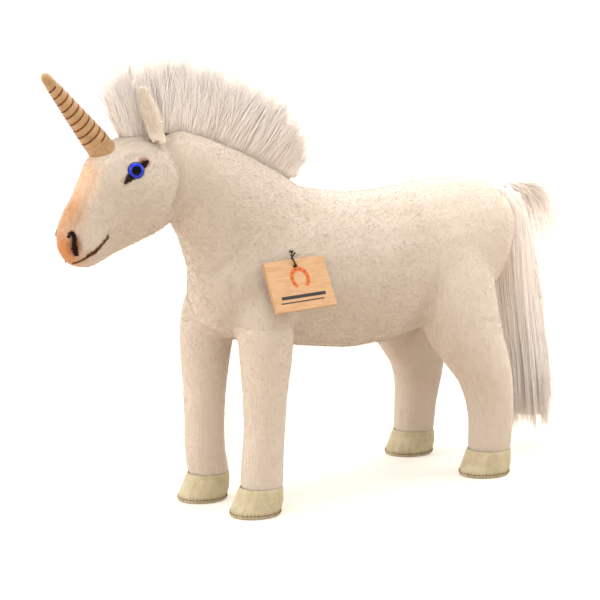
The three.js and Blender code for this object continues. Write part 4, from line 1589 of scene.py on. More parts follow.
@dataclass
class Horn:
    """A stuffed cloth cone bound in a spiral by thread, so that the cloth swells between the turns.

    Attributes:
        foot: The middle of its foot, in millimetres in the row frame.
        pitch: Its angle above level in degrees.
        length: Its length in millimetres.
        wide: Its radius at the foot in millimetres.
        narrow: Its radius at the tip in millimetres.
        turns: How many turns the thread makes.
        first: Where the winding starts, as a share of the length.
        last: Where it ends.
        swell: How far the cloth swells between turns, in millimetres.
    """

    foot: tuple[float, float, float] = (211.658, 0.0, 282.0)
    pitch: float = 49.0
    length: float = 70.0
    wide: float = 10.0
    narrow: float = 3.2
    turns: int = 9
    first: float = 0.13
    last: float = 0.86
    swell: float = 0.75

    def axes(self) -> Matrix:
        """Turns the horn's own frame, whose Z is its axis, to the row frame.

        Returns:
            The transform, for lengths in metres.
        """
        a = math.radians(self.pitch)
        axis = Vector((math.cos(a), 0, math.sin(a)))
        ahead = Vector((0, 1, 0))
        side = axis.cross(ahead)
        turn = Matrix((ahead, side, axis)).transposed().to_4x4()
        return Matrix.Translation(vec(self.foot)) @ turn

    def radius(self, share: float) -> float:
        """The cone's radius at a share of its length, in millimetres."""
        return self.wide + (self.narrow - self.wide) * share

    def bulge(self, share: float, angle: float) -> float:
        """Works out how far the bound cloth stands out at a place.

        Args:
            share: The place's height as a share of the horn's length.
            angle: Its angle round the axis in radians.

        Returns:
            The height of the swelling in millimetres.
        """
        if share < self.first - 0.04 or share > self.last + 0.04:
            return 0.25
        phase = (share - self.first) / (self.last - self.first) * self.turns - angle / (2 * math.pi)
        return self.swell * (abs(math.sin(math.pi * phase)) ** 0.7) - 0.15

    def make(self, cloth: bpy.types.Material, thread: bpy.types.Material) -> None:
        """Makes the cover and the thread, and dresses them.

        Args:
            cloth: The cover's finish.
            thread: The thread's finish.
        """
        bm = bmesh.new()
        steps, previous = 150, None
        for k in range(steps + 1):
            share = -0.1 + 1.05 * k / steps
            made = bm.verts.new((self.radius(share), 0, share * self.length))
            if previous:
                bm.edges.new((previous, made))
            previous = made
        for k in range(1, 9):
            a = math.pi / 2 * k / 8
            r, dome = self.radius(0.95), 0.05 * self.length + 1.8
            made = bm.verts.new((r * math.cos(a), 0, 0.95 * self.length + dome * math.sin(a)))
            bm.edges.new((previous, made))
            previous = made
        bmesh.ops.spin(
            bm,
            geom=[*bm.verts, *bm.edges],
            cent=(0, 0, 0),
            axis=(0, 0, 1),
            angle=2 * math.pi,
            steps=56,
            use_merge=True,
        )
        bmesh.ops.remove_doubles(bm, verts=bm.verts, dist=1e-4)
        rim = [e for e in bm.edges if e.is_boundary]
        bmesh.ops.contextual_create(bm, geom=rim)
        for v in bm.verts:
            r = math.hypot(v.co.x, v.co.y)
            if r > 0.5:
                more = self.bulge(v.co.z / self.length, math.atan2(v.co.y, v.co.x) % (2 * math.pi))
                v.co.x, v.co.y = v.co.x * (r + more) / r, v.co.y * (r + more) / r
        bmesh.ops.recalc_face_normals(bm, faces=bm.faces)
        place = self.axes()
        bm.transform(place @ Matrix.Diagonal((MM, MM, MM, 1)))
        cover = from_bmesh("horn_cloth_cover", bm, 0.9)
        line = []
        count = self.turns * 36
        for k in range(count + 1):
            t = k / count
            share = self.first + (self.last - self.first) * t
            a = 2 * math.pi * self.turns * t
            r = self.radius(share) + 0.15
            line.append(place @ (Vector((r * math.cos(a), r * math.sin(a), share * self.length)) * MM))
        wound = tubes("horn_wound_thread", [line], [[0.54 * MM] * len(line)], 1)
        ridden(cover, Body.ROOT, cloth, ["horn_cover"])
        ridden(wound, Body.ROOT, thread, ["horn_thread"])


# ---------------------------------------------------------------- ears


@dataclass
class Ear:
    """A leaf of plush with its lining, rolled at the foot and pressed flat towards its tip.

    Attributes:
        side: Which side it is on.
        voxel: The step of its surface in metres.
        nod: How far its tip bends forward, in metres.
        toe_in: How far its tip bends towards the other ear, in metres.
        filled: How much of its hollow the pressed fold takes up.
        bare: How far above its foot the pile starts, in metres.
    """

    side: Side
    voxel: float = 0.9 * MM
    nod: float = 6.5 * MM
    toe_in: float = 2.0 * MM
    filled: float = 0.86
    bare: float = 7.0 * MM

    def make(self, plush: bpy.types.Material) -> None:
        """Makes the ear and its pile, and dresses them.

        Args:
            plush: The finish of both.
        """
        word = self.side.word
        outer, lining = f"ear_{word}_outer", f"ear_{word}_lining"
        cloth = copied([outer, lining], {lining: 0.8 * MM})
        middle = centroid(outer)
        fold = bmesh.ops.convex_hull(cloth, input=cloth.verts[:], use_existing_faces=False)["geom"]
        inner = [v for v in fold if isinstance(v, bmesh.types.BMVert)]
        hull = bmesh.new()
        made = {v: hull.verts.new(middle + (v.co - middle) * self.filled) for v in inner}
        for f in (f for f in fold if isinstance(f, bmesh.types.BMFace)):
            if all(v in made for v in f.verts):
                hull.faces.new([made[v] for v in f.verts])
        cloth.free()
        both = copied([outer, lining], {lining: 0.8 * MM})
        extra = bpy.data.meshes.new("fold")
        bmesh.ops.recalc_face_normals(hull, faces=hull.faces)
        hull.to_mesh(extra)
        hull.free()
        both.from_mesh(extra)
        bpy.data.meshes.remove(extra)
        leaf = remeshed(f"ear_{word}_leaf", both, self.voxel)
        relaxed(leaf.data, 6)
        low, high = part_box(outer)
        points = coords(leaf.data)
        rise = np.clip((points[:, 2] - low.z) / (high.z - low.z), 0, 1) ** 1.3
        points[:, 0] += self.nod * rise
        points[:, 1] -= self.side.value * self.toe_in * rise
        set_coords(leaf.data, points)
        free = leaf.data.copy()  # its pile starts clear of the head, which it would catch on
        shorn = bmesh.new()
        shorn.from_mesh(free)
        bmesh.ops.bisect_plane(
            shorn,
            geom=[*shorn.verts, *shorn.edges, *shorn.faces],
            plane_co=(0, 0, low.z + self.bare),
            plane_no=(0, 0, -1),
            clear_outer=True,
        )
        shorn.to_mesh(free)
        shorn.free()
        seed = SEED + 30 + self.side.value
        pile = furred(f"ear_{word}_pile", free, 2.6, 2.6 * MM, 0.12 * MM, (0, 0, 1.0), seed)
        bpy.data.meshes.remove(free)
        body = Body.EAR_LEFT if self.side is Side.LEFT else Body.EAR_RIGHT
        ridden(smooth_shaded(leaf), body, plush, [outer, lining])
        ridden(pile, body, plush)


# ---------------------------------------------------------------- eyes


@dataclass
class Eye:
    """A safety eye: a dark backing cup, a domed blue iris and a domed black pupil.

    Attributes:
        side: Which side it is on.
        seat: The middle of its back face, in millimetres on the left side.
        out: The way that it faces, on the left side.
        radius: Its radius in millimetres.
    """

    side: Side
    seat: tuple[float, float, float] = (197.77, 22.67, 267.86)
    out: tuple[float, float, float] = (0.330, 0.944, 0.018)
    radius: float = 6.2

    def lathed(
        self, name: str, profile: Sequence[tuple[float, float]], angle: float = math.pi
    ) -> bpy.types.Object:
        """Turns a profile of radius and height, in millimetres, about the eye's axis.

        Args:
            name: The piece's name.
            profile: Its points, from the axis and back to it.
            angle: Edges sharper than this stay sharp.

        Returns:
            The new object.
        """
        bm = bmesh.new()
        made = [bm.verts.new((r * MM, 0, h * MM)) for r, h in profile]
        for a, b in zip(made, made[1:]):
            bm.edges.new((a, b))
        bmesh.ops.spin(
            bm,
            geom=[*bm.verts, *bm.edges],
            cent=(0, 0, 0),
            axis=(0, 0, 1),
            angle=2 * math.pi,
            steps=TURN_STEPS,
            use_merge=True,
        )
        bmesh.ops.remove_doubles(bm, verts=bm.verts, dist=2e-6)
        bmesh.ops.recalc_face_normals(bm, faces=bm.faces)
        sign = self.side.value
        out = Vector((self.out[0], sign * self.out[1], self.out[2])).normalized()
        seat = vec((self.seat[0], sign * self.seat[1], self.seat[2]))
        bm.transform(Matrix.Translation(seat) @ out.to_track_quat("Z", "Y").to_matrix().to_4x4())
        return from_bmesh(name, bm, angle)

    def make(self, cup: bpy.types.Material, iris: bpy.types.Material, pupil: bpy.types.Material) -> None:
        """Makes the eye's layers and dresses them.

        Args:
            cup: The backing's finish.
            iris: The iris's finish.
            pupil: The pupil's finish.
        """
        word, r = self.side.word, self.radius
        stem = [(0, -11), (1.6, -11), (1.9, -10.4), (1.9, -1.0), (r - 1.2, -0.9), (r - 0.1, -0.3), (r, 0.3)]
        backing = [*stem, (r - 0.02, 1.0), (r - 0.2, 1.4), (r - 0.5, 1.5), (r - 0.7, 1.3), (0, 1.2)]
        slope = [(r - 0.55, 1.0), (r - 0.6, 1.5), (r - 0.9, 1.85), (4.5, 2.35), (3.7, 2.66)]
        ring = [(3.2, 1.0), *slope, (3.3, 2.7), (3.2, 1.0)]
        disc = [(0, 1.0), (3.35, 1.0), (3.45, 2.7), (3.1, 2.86), (2.2, 3.1), (1.1, 3.28), (0, 3.34)]
        back = self.lathed(f"eye_{word}_backing_cup", backing, 0.7)
        ridden(back, Body.ROOT, cup, [f"eye_{word}"])
        ridden(self.lathed(f"eye_{word}_iris", ring), Body.ROOT, iris)
        ridden(self.lathed(f"eye_{word}_pupil", disc), Body.ROOT, pupil)


# ---------------------------------------------------------------- embroidery


@dataclass
class Embroidery:
    """The stitched features of the face: eye corners, nostrils and mouth.

    Attributes:
        hide: The hide that they are stitched through.
        yarn: The thread's radius in metres.
    """

    hide: Hide
    yarn: float = 0.34 * MM

    def satin(
        self,
        name: str,
        path: Sequence[Point],
        widths: Sequence[float],
        pitch: float,
        seed: int,
        uneven: float = 0.2,
        slant: float = 0.0,
    ) -> bpy.types.Object:
        """Lays stitches side by side across a path.

        Args:
            name: The piece's name.
            path: The path's points in millimetres.
            widths: The stitches' lengths in millimetres, evenly along the path.
            pitch: The distance between stitches in millimetres.
            seed: The seed of their unevenness.
            uneven: How much their lengths vary.
            slant: How far each end is shifted along the path, in millimetres.

        Returns:
            The new object.
        """
        rng = np.random.default_rng(seed)
        rough = spline_through([vec(p) for p in path], 24)
        run = sum((b - a).length for a, b in zip(rough, rough[1:])) / MM
        count = max(4, int(run / pitch))
        line = spline_through([vec(p) for p in path], count)
        lines, radii = [], []
        for k, p in enumerate(line):
            ahead = (line[min(k + 1, count - 1)] - line[max(k - 1, 0)]).normalized()
            at, out = self.hide.nearest(p)
            across = out.cross(ahead).normalized()
            share = k / (count - 1) * (len(widths) - 1)
            low = min(int(share), len(widths) - 2)
            wide = widths[low] + (widths[low + 1] - widths[low]) * (share - low)
            ends = []
            for reach in (-1, -0.5, 0, 0.5, 1):
                far = wide / 2 * reach * (1 + uneven * rng.uniform(-1, 1)) * MM
                spot, up = self.hide.nearest(at + across * far + ahead * slant * reach * MM)
                rise = (0.15 if abs(reach) == 1 else 0.75 if reach == 0 else 0.6) * MM
                ends.append(spot + up * rise + ahead * rng.uniform(-0.1, 0.1) * MM)
            lines.append(ends)
            radii.append([self.yarn * s for s in (0.6, 1.0, 1.05, 1.0, 0.6)])
        return tubes(name, lines, radii)

    def make(self, dark: bpy.types.Material, brown: bpy.types.Material) -> None:
        """Stitches both sides of the face and dresses the stitches.

        Args:
            dark: The floss of the eye corners and the nostrils.
            brown: The floss of the mouth.
        """
        for side in Side:
            s, word = side.value, side.word
            eye = (197.77, 22.67, 267.86)
            corners = {
                "front": (
                    (eye[0] + 3.6, s * 21.6, eye[2] - 4.2),
                    (eye[0] + 8.6, s * 19.5, eye[2] - 9.4),
                    (7.2, 4.4, 1.6),
                ),
                "rear": (
                    (eye[0] - 4.6, s * 24.0, eye[2] + 3.4),
                    (eye[0] - 10.6, s * 23.0, eye[2] + 6.8),
                    (6.4, 4.0, 1.8),
                ),
            }
            for corner, (start, end, widths) in corners.items():
                node = f"eye_corner_{corner}_{word}"
                middle = tuple((a + b) / 2 for a, b in zip(start, end))
                made = self.satin(f"{node}_stitches", (start, middle, end), widths, 0.55, SEED + s, 0.25)
                ridden(made, Body.ROOT, dark, [node])
            nostril = (
                (244.6, s * 7.4, 221.5),
                (243.0, s * 8.7, 225.0),
                (241.6, s * 10.2, 221.0),
                (242.0, s * 10.6, 215.6),
                (240.9, s * 10.6, 208.5),
            )
            wide = (2.0, 3.2, 3.2, 3.9, 4.3, 3.0)
            made = self.satin(f"nostril_{word}_stitches", nostril, wide, 0.5, SEED + 3, 0.35)
            ridden(made, Body.ROOT, dark, [f"nostril_{word}"])
            mouth = (
                (240.5, s * 5.0, 202.6),
                (237.7, s * 10.1, 204.3),
                (232.0, s * 14.5, 208.6),
                (226.0, s * 15.5, 212.6),
                (218.1, s * 16.4, 220.8),
            )
            wide = (0.9, 1.1, 2.4, 2.8, 1.4, 2.4)
            made = self.satin(f"mouth_{word}_stitches", mouth, wide, 0.95, SEED + 4, 0.8, 1.2)
            ridden(made, Body.ROOT, brown, [f"mouth_{word}"])


# ---------------------------------------------------------------- long pile


@dataclass(frozen=True)
class Root:
    """One station of a crest of hair.

    Attributes:
        x: Where it is rooted, in millimetres.
        z: Its height in millimetres.
        lean: How far the hair leans back from upright, in degrees.
        length: The hair's length in millimetres.
        spread: How far it spreads to each side, in millimetres.
    """

    x: float
    z: float
    lean: float
    length: float
    spread: float


def between(stations: Sequence[Root], x: float) -> Root:
    """Finds the station at a place between given ones.

    Args:
        stations: The given stations, in order of X.
        x: The place in millimetres.

    Returns:
        The station there.
    """
    for a, b in zip(stations, stations[1:]):
        if x <= b.x or b is stations[-1]:
            t = min(max((x - a.x) / (b.x - a.x), 0.0), 1.0)
            return Root(*(p + (q - p) * t for p, q in zip(astuple(a), astuple(b))))
    return stations[-1]


@dataclass
class Crest:
    """An upright crest of long pile, as the mane or the forelock is.

    Attributes:
        node: The CAD node that it stands for.
        stations: Where it is rooted, from back to front.
        count: How many strands it has.
        clumps: How many tufts they gather in.
        seed: The seed of its strands.
        thick: A strand's radius at the root in metres.
        short: How much lower its core is than the hair, as a share.
        slim: How wide its core is beside the hair.
        tallest: A strand's greatest length against its station's.
    """

    node: str
    stations: tuple[Root, ...]
    count: int
    clumps: int
    seed: int
    thick: float = 0.30 * MM
    short: float = 0.30
    slim: float = 0.5
    tallest: float = 1.24

    def strand(
        self, x: float, side: float, long: float, tilt: float, rng: np.random.Generator
    ) -> np.ndarray:
        """One strand's points before its tuft gathers it.

        Args:
            x: Where along the crest it is rooted, in millimetres.
            side: Which way it spreads, from -1 to 1.
            long: Its length against the station's.
            tilt: Extra lean in degrees.
            rng: The source of its waves.

        Returns:
            Its points in millimetres.
        """
        s = between(self.stations, x)
        lean = math.radians(s.lean + tilt)
        length = s.length * long
        wave = rng.normal(0, 0.7, 2)
        points = []
        for k in range(6):
            t = k / 5
            opened = math.sin(math.pi / 2 * min(1.0, 0.15 + t * 1.1))
            out = (abs(side) ** 0.8) * math.copysign(1, side) * s.spread * opened
            sway = math.radians(tilt * 0.6) * t * t * length * 0.5
            points.append(
                (
                    x - length * t * math.sin(lean) - sway + wave[0] * math.sin(5 * t),
                    4.2 * side * (1 - t) + out * (0.35 + 0.65 * t) + wave[1] * math.sin(4 * t),
                    s.z - 3 + (length + 3) * t * math.cos(lean) * (1 - 0.10 * t * abs(side)),
                )
            )
        return np.array(points)

    def make(self, core_finish: bpy.types.Material, finish: bpy.types.Material) -> None:
        """Makes the core and the strands, and dresses them.

        Args:
            core_finish: The finish of the core, where the hair is dense.
            finish: The finish of the strands.
        """
        core = remeshed(f"{self.node}_core", copied([self.node]), 2.0 * MM)
        relaxed(core.data, 8)
        points = coords(core.data)
        for p in points:
            s = between(self.stations, p[0] / MM)
            for _ in range(2):  # hair that leans back is rooted ahead of where it is seen
                s = between(self.stations, p[0] / MM + (p[2] / MM - s.z) * math.tan(math.radians(s.lean)))
            rise = p[2] - s.z * MM
            if rise > 0:
                p[2] -= self.short * rise
                p[0] += self.short * rise * math.tan(math.radians(s.lean))
            p[1] *= self.slim
        set_coords(core.data, points)
        relaxed(core.data, 3)
        ridden(smooth_shaded(core), Body.ROOT, core_finish, [self.node])
        rng = np.random.default_rng(self.seed)
        first, last = self.stations[0].x, self.stations[-1].x
        tufts = []
        for _ in range(self.clumps):
            x, side = rng.uniform(first, last), rng.uniform(-1, 1)
            long = rng.uniform(0.80, 1.06)
            tufts.append((x, side, self.strand(x, side, long, rng.normal(0, 7), rng), long))
        tuft_x = np.array([t[0] for t in tufts])
        tuft_side = np.array([t[1] for t in tufts])
        lines, radii = [], []
        for _ in range(self.count):
            x, side = rng.uniform(first, last), rng.uniform(-1, 1)
            side = math.copysign(abs(side) ** 0.6, side)
            away = ((tuft_x - x) / 5) ** 2 + ((tuft_side - side) / 0.35) ** 2
            n = int(np.argmin(away + rng.random(len(tufts)) * 0.6))
            loose = rng.random() < 0.12
            long = rng.uniform(0.6, 1.0) if not loose else rng.uniform(0.95, self.tallest)
            if rng.random() < 0.35:
                long *= rng.uniform(0.45, 0.9)
            line = self.strand(x, side, long, rng.normal(0, 4 if not loose else 9), rng)
            pull = 0.0 if loose else 0.6
            for k in range(6):
                t = k / 5
                line[k] = line[k] * (1 - pull * t * t) + tufts[n][2][k] * pull * t * t
            line[5, 2] = line[4, 2] + (line[5, 2] - line[4, 2]) * rng.uniform(0.7, 1.0)
            lines.append([tuple(p * MM) for p in line])
            thick = self.thick * rng.uniform(0.6, 1.1)
            radii.append([thick * s for s in (1.0, 1.0, 0.9, 0.7, 0.42, 0.1)])
        half = (len(lines) + 1) // 2
        parts = ((f"{self.node}_strands", 0, half), (f"{self.node}_strands_over", half, len(lines)))
        for name, a, b in parts:
            made = tubes(name, lines[a:b], radii[a:b])
            ridden(made, Body.ROOT, finish)


@dataclass
class Tail:
    """The tail: a long lock gathered at the dock, with loose wisps that stand out over it.

    Attributes:
        dock: Where it is gathered, in millimetres.
        foot: The height where it ends, in millimetres.
        locks: Behind the dock, share of the fall, half width and depth, in millimetres.
        count: How many strands the lock has.
        wisps: How many loose ones stand out at the top.
        tufts: How many tufts its strands gather into.
        wisp_r: A wisp's radius in millimetres.
        core_in: How far the core lies under the surface, in millimetres.
        core_up: How far it stops above the lock's foot, in millimetres.
        seed: The seed of its strands.
        thick: A strand's radius in metres.
    """

    dock: tuple[float, float, float] = (-189.342, 0.0, 235.0)
    foot: float = 14.0
    locks: tuple[tuple[float, float, float, float], ...] = (
        (4, -0.03, 7, 7),
        (12, 0.000, 10, 9),
        (19.5, 0.05, 13, 12),
        (22.5, 0.17, 17, 17),
        (27.5, 0.36, 19, 20),
        (36.0, 0.58, 20, 20),
        (44.5, 0.815, 21, 19),
        (50.0, 1.0, 20, 18),
    )
    count: int = 4700
    wisps: int = 420
    tufts: int = 120
    wisp_r: float = 0.26
    core_in: float = 5.0
    core_up: float = 22.0
    seed: int = 77
    thick: float = 0.34 * MM

    def lock_at(self, share: float) -> tuple[float, float, float, float]:
        """Finds the lock's middle and its size at a share of its fall.

        Args:
            share: The share, from 0 at the dock to 1 at the foot.

        Returns:
            Its middle X and Z, half width and depth, in millimetres.
        """
        rows = self.locks
        for a, b in zip(rows, rows[1:]):
            if share <= b[1] or b is rows[-1]:
                t = min(max((share - a[1]) / (b[1] - a[1]), 0.0), 1.15)
                back, at, wide, deep = (p + (q - p) * t for p, q in zip(a, b))
                return (self.dock[0] - back, self.dock[2] - at * (self.dock[2] - self.foot), wide, deep)
        return (0.0, 0.0, 0.0, 0.0)

    def hanging(
        self, angle: float, out: float, stop: float, rng: np.random.Generator, flare: float
    ) -> np.ndarray:
        """One hanging strand.

        Args:
            angle: Which way round the lock it lies.
            out: How far out, from 0 to 1.
            stop: Where it ends, as a share of the fall.
            rng: The source of its waves.
            flare: How far its end turns out, in millimetres.

        Returns:
            Its points in millimetres.
        """
        wave, phase = rng.normal(0, 0.9, 2), rng.uniform(0, 6)
        points = []
        for k in range(7):
            t = k / 6
            share = -0.02 + (stop + 0.02) * (t**1.25)
            x, z, wide, deep = self.lock_at(share)
            points.append(
                (
                    x + out * deep * math.cos(angle) + wave[0] * math.sin(phase + 6 * t) * t - flare * t**3,
                    out * wide * math.sin(angle) + wave[1] * math.sin(phase + 5 * t) * t,
                    z + out * 2.5 * max(0.0, -math.cos(angle)) * (1 - t),
                )
            )
        return np.array(points)

    def wisp(self, rng: np.random.Generator) -> np.ndarray:
        """One loose strand that rises over the lock and falls behind it.

        Args:
            rng: The source of its shape.

        Returns:
            Its points in millimetres.
        """
        reach, fall = rng.uniform(24, 82), rng.uniform(10, 84)
        rise, side = rng.uniform(2, 9), rng.normal(0, 5)
        points = []
        for k in range(8):
            t = k / 7
            points.append(
                (
                    self.dock[0] - 6 - reach * (1 - (1 - t) ** 1.7),
                    side * t + rng.normal(0, 0.2),
                    self.dock[2] + 5 + rise * math.sin(math.pi * min(1.0, t * 1.1)) - fall * t**1.8,
                )
            )
        return np.array(points)

    def make(self, core_finish: bpy.types.Material, finish: bpy.types.Material) -> None:
        """Makes the core, the lock and the wisps, and dresses them.

        Args:
            core_finish: The finish of the core, where the hair is dense.
            finish: The finish of the strands.
        """
        core = remeshed("tail_pile_core", copied(["tail_pile"]), 2.4 * MM)
        relaxed(core.data, 6)
        points, out = coords(core.data), normals(core.data)
        set_coords(core.data, points - out * self.core_in * MM)
        low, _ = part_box("tail_pile")
        points = coords(core.data)
        points[:, 2] = np.maximum(points[:, 2], low.z + self.core_up * MM)
        set_coords(core.data, points)
        relaxed(core.data, 3)
        ridden(smooth_shaded(core), Body.TAIL, core_finish, ["tail_pile"])
        rng = np.random.default_rng(self.seed)
        tufts = [
            (a, o, self.hanging(a, o, s, rng, rng.normal(2, 4)))
            for a, o, s in (
                (rng.uniform(0, 2 * math.pi), rng.uniform(0.6, 1.0), rng.uniform(0.82, 1.0))
                for _ in range(self.tufts)
            )
        ]
        around = np.array([t[0] for t in tufts])
        lines, radii = [], []
        for _ in range(self.count):
            angle, out_by = rng.uniform(0, 2 * math.pi), rng.uniform(0.72, 1.0)
            stop = rng.uniform(0.8, 1.0) if rng.random() < 0.7 else rng.uniform(0.4, 0.85)
            apart = np.abs((around - angle + math.pi) % (2 * math.pi) - math.pi)
            tuft = tufts[int(np.argmin(apart + rng.random(len(tufts)) * 0.25))]
            line = self.hanging(angle, out_by, stop, rng, rng.normal(1, 2))
            for k in range(7):
                t = k / 6
                line[k, :2] = line[k, :2] * (1 - 0.6 * t * t) + tuft[2][k, :2] * 0.6 * t * t
            lines.append([tuple(p * MM) for p in line])
            thick = self.thick * rng.uniform(0.6, 1.1)
            radii.append([thick * s for s in (0.7, 0.95, 1.0, 1.0, 0.88, 0.6, 0.1)])
        half = len(lines) // 2
        for name, a, b in (("tail_pile_strands", 0, half), ("tail_pile_strands_over", half, len(lines))):
            ridden(tubes(name, lines[a:b], radii[a:b]), Body.TAIL, finish)
        loose = [[tuple(p * MM) for p in self.wisp(rng)] for _ in range(self.wisps)]
        thin = [[self.wisp_r * MM * s for s in (0.9, 1.0, 1.0, 0.9, 0.75, 0.55, 0.35, 0.1)] for _ in loose]
        ridden(tubes("tail_loose_wisps", loose, thin), Body.TAIL, finish)


# ---------------------------------------------------------------- swing tag


@dataclass
class Tag:
    """The wooden swing tag: its cord, the stitch that holds it, and a plain printed device.

    Attributes:
        hole: The cord's hole in the board's back face, in millimetres.
        right: The way of the board's width.
        up: The way of its height.
        out: The way that its face looks.
        drop: From the hole down to the board's middle, in millimetres.
        board: The board's thickness in millimetres.
        route: The cord's points in millimetres.
    """

    hole: tuple[float, float, float] = (73.658, 47.192, 191.0)
    right: tuple[float, float, float] = (0.992, -0.1096, -0.0632)
    up: tuple[float, float, float] = (0.0104, -0.4272, 0.9041)
    out: tuple[float, float, float] = (0.1261, 0.8975, 0.4226)
    drop: float = 14.0
    board: float = 3.6
    route: tuple[Point, ...] = (
        (72.358, 43.93, 203),
        (72.958, 45.53, 203.8),
        (75.938, 47.69, 200.61),
        (75.248, 50.48, 196.08),
        (74.568, 51.21, 193.55),
        (73.888, 48.81, 191.76),
        (73.218, 45.89, 191.05),
        (72.308, 44.18, 194.02),
        (71.808, 42.9, 197.84),
        (69.558, 43.93, 202.4),
    )

    def face(self) -> Matrix:
        """Turns the board's face, whose Z looks out, to the row frame.

        Returns:
            The transform from millimetres on the face to metres.
        """
        turn = Matrix((Vector(self.right), Vector(self.up), Vector(self.out))).transposed().to_4x4()
        at = vec(self.hole) - Vector(self.up) * self.drop * MM + Vector(self.out) * self.board * MM
        return Matrix.Translation(at) @ turn @ Matrix.Diagonal((MM, MM, MM, 1))

    def printed(self, name: str, rings: Sequence[Sequence[tuple[float, float]]]) -> bpy.types.Object:
        """A thin flat layer of ink from strips of the face's plane.

        Args:
            name: The piece's name.
            rings: Outlines in millimetres on the face.

        Returns:
            The new object.
        """
        bm = bmesh.new()
        for ring in rings:
            base = bm.faces.new([bm.verts.new((x, y, -0.05)) for x, y in ring])
            lifted = bmesh.ops.extrude_face_region(bm, geom=[base])
            top = [v for v in lifted["geom"] if isinstance(v, bmesh.types.BMVert)]
            bmesh.ops.translate(bm, verts=top, vec=(0, 0, 0.13))
        bmesh.ops.recalc_face_normals(bm, faces=bm.faces)
        bm.transform(self.face())
        return from_bmesh(name, bm, 0.6)

    def horseshoe(self) -> list[tuple[float, float]]:
        """Draws a horseshoe that opens downwards.

        Returns:
            Its outline in millimetres.
        """
        outer, inner = [], []
        for k in range(25):
            a = math.radians(-58 + 296 * k / 24)
            outer.append((-1 + 8.6 * math.cos(a), 4.6 + 9.0 * math.sin(a)))
            inner.append((-1 + 5.2 * math.cos(a), 4.2 + 5.9 * math.sin(a)))
        return outer + inner[::-1]

    def make(
        self,
        wood: bpy.types.Material,
        cord: bpy.types.Material,
        ink: bpy.types.Material,
        dark_ink: bpy.types.Material,
    ) -> None:
        """Dresses the board and makes the print, the cord and the stitch.

        Args:
            wood: The board's finish.
            cord: The finish of the cord and the stitch.
            ink: The horseshoe's ink.
            dark_ink: The ink of the rules and the nail dots.
        """
        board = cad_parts["tag_board"]
        board.data.materials.clear()
        board.data.materials.append(wood)
        ridden(self.printed("tag_printed_horseshoe", [self.horseshoe()]), Body.TAG, ink)
        rules = [
            [(x - w, y - h), (x + w, y - h), (x + w, y + h), (x - w, y + h)]
            for x, y, w, h in ((0.0, -9.6, 19.5, 1.3), (2.0, -13.6, 19.0, 0.45))
        ]
        ridden(self.printed("tag_printed_rules", rules), Body.TAG, dark_ink)
        nails = [
            [(x + 0.55 * math.cos(a), y + 0.55 * math.sin(a)) for a in (math.pi * k / 4 for k in range(8))]
            for x, y in (
                (-1 + 6.95 * math.cos(math.radians(b)), 4.4 + 7.5 * math.sin(math.radians(b)))
                for b in (-30, 5, 40, 75, 105, 140, 175, 210)
            )
        ]
        dots = self.printed("tag_printed_nail_dots", nails)
        up = Vector(self.out) * 0.1 * MM
        for v in dots.data.vertices:
            v.co += up
        ridden(dots, Body.TAG, dark_ink)
        line = spline_through([vec(p) for p in self.route], 90)
        plies = []
        for phase in (0, math.pi):
            ply = []
            for k, p in enumerate(line):
                ahead = (line[min(k + 1, 89)] - line[max(k - 1, 0)]).normalized()
                side = ahead.cross(Vector((0.3, 0.2, 0.93))).normalized()
                other = ahead.cross(side)
                a = phase + k * 0.75
                ply.append(p + (side * math.cos(a) + other * math.sin(a)) * 0.33 * MM)
            plies.append(ply)
        twisted = tubes("tag_twisted_cord", plies, [[0.40 * MM] * 90] * 2, 1)
        ridden(twisted, Body.TAG, cord, ["tag_cord"])
        low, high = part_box("tag_stitch")
        middle, half = (low + high) / 2, (high - low) / 2
        loops, thin = [], []
        for k in range(3):
            arc = []
            for n in range(9):
                a = math.pi * n / 8
                across, out = half.x * 0.8 * math.cos(a), half.y * (0.7 * math.sin(a) - 0.4)
                arc.append(middle + Vector((across, out, (k - 1) * 0.45 * MM)))
            loops.append(arc)
            thin.append([0.25 * MM] * 9)
        ridden(tubes("tag_stitch_loops", loops, thin, 1), Body.TAG_STITCH, cord, ["tag_stitch"])


# ---------------------------------------------------------------- all together


def face_sprays() -> tuple[Spray, ...]:
    """Places the airbrushed dye by the CAD boxes of the eyes, nostrils and mouth.

    Returns:
        The passes of dye, in the order in which they are laid.
    """
    nose = (centre("nostril_left") + centre("nostril_right")) / 2
    lip = (centre("mouth_left") + centre("mouth_right")) / 2
    eye = (centre("eye_left") + centre("eye_right")) / 2
    passes = [
        Spray((nose.x + 0.004, 0, nose.z - 0.004), (0.018, 0.018, 0.024), "B56E2C", 0.95, 0.2),
        Spray((nose.x - 0.004, 0, nose.z + 0.020), (0.020, 0.019, 0.032), "AE7642", 0.85, 0.2),
        Spray((eye.x + 0.026, 0, eye.z - 0.012), (0.019, 0.018, 0.032), "DBA67A", 0.8, 0.15),
        Spray((lip.x + 0.010, 0, lip.z - 0.006), (0.018, 0.018, 0.013), "B8743A", 0.85, 0.2),
    ]
    for side in Side:
        s = side.value
        near = centre(f"nostril_{side.word}")
        corner = centre(f"eye_{side.word}")
        passes += [
            Spray((near.x, near.y, near.z), (0.0075, 0.009, 0.0125), "7E4119", 0.9, 0.25),
            Spray(
                (corner.x + 0.007, corner.y - s * 0.002, corner.z - 0.0075),
                (0.0066, 0.009, 0.0066),
                "7A3E16",
                0.9,
                0.4,
            ),
            Spray(
                (corner.x - 0.0080, corner.y + s * 0.001, corner.z + 0.0052),
                (0.0066, 0.009, 0.0052),
                "7A3E16",
                0.9,
                0.4,
            ),
        ]
    return tuple(passes)


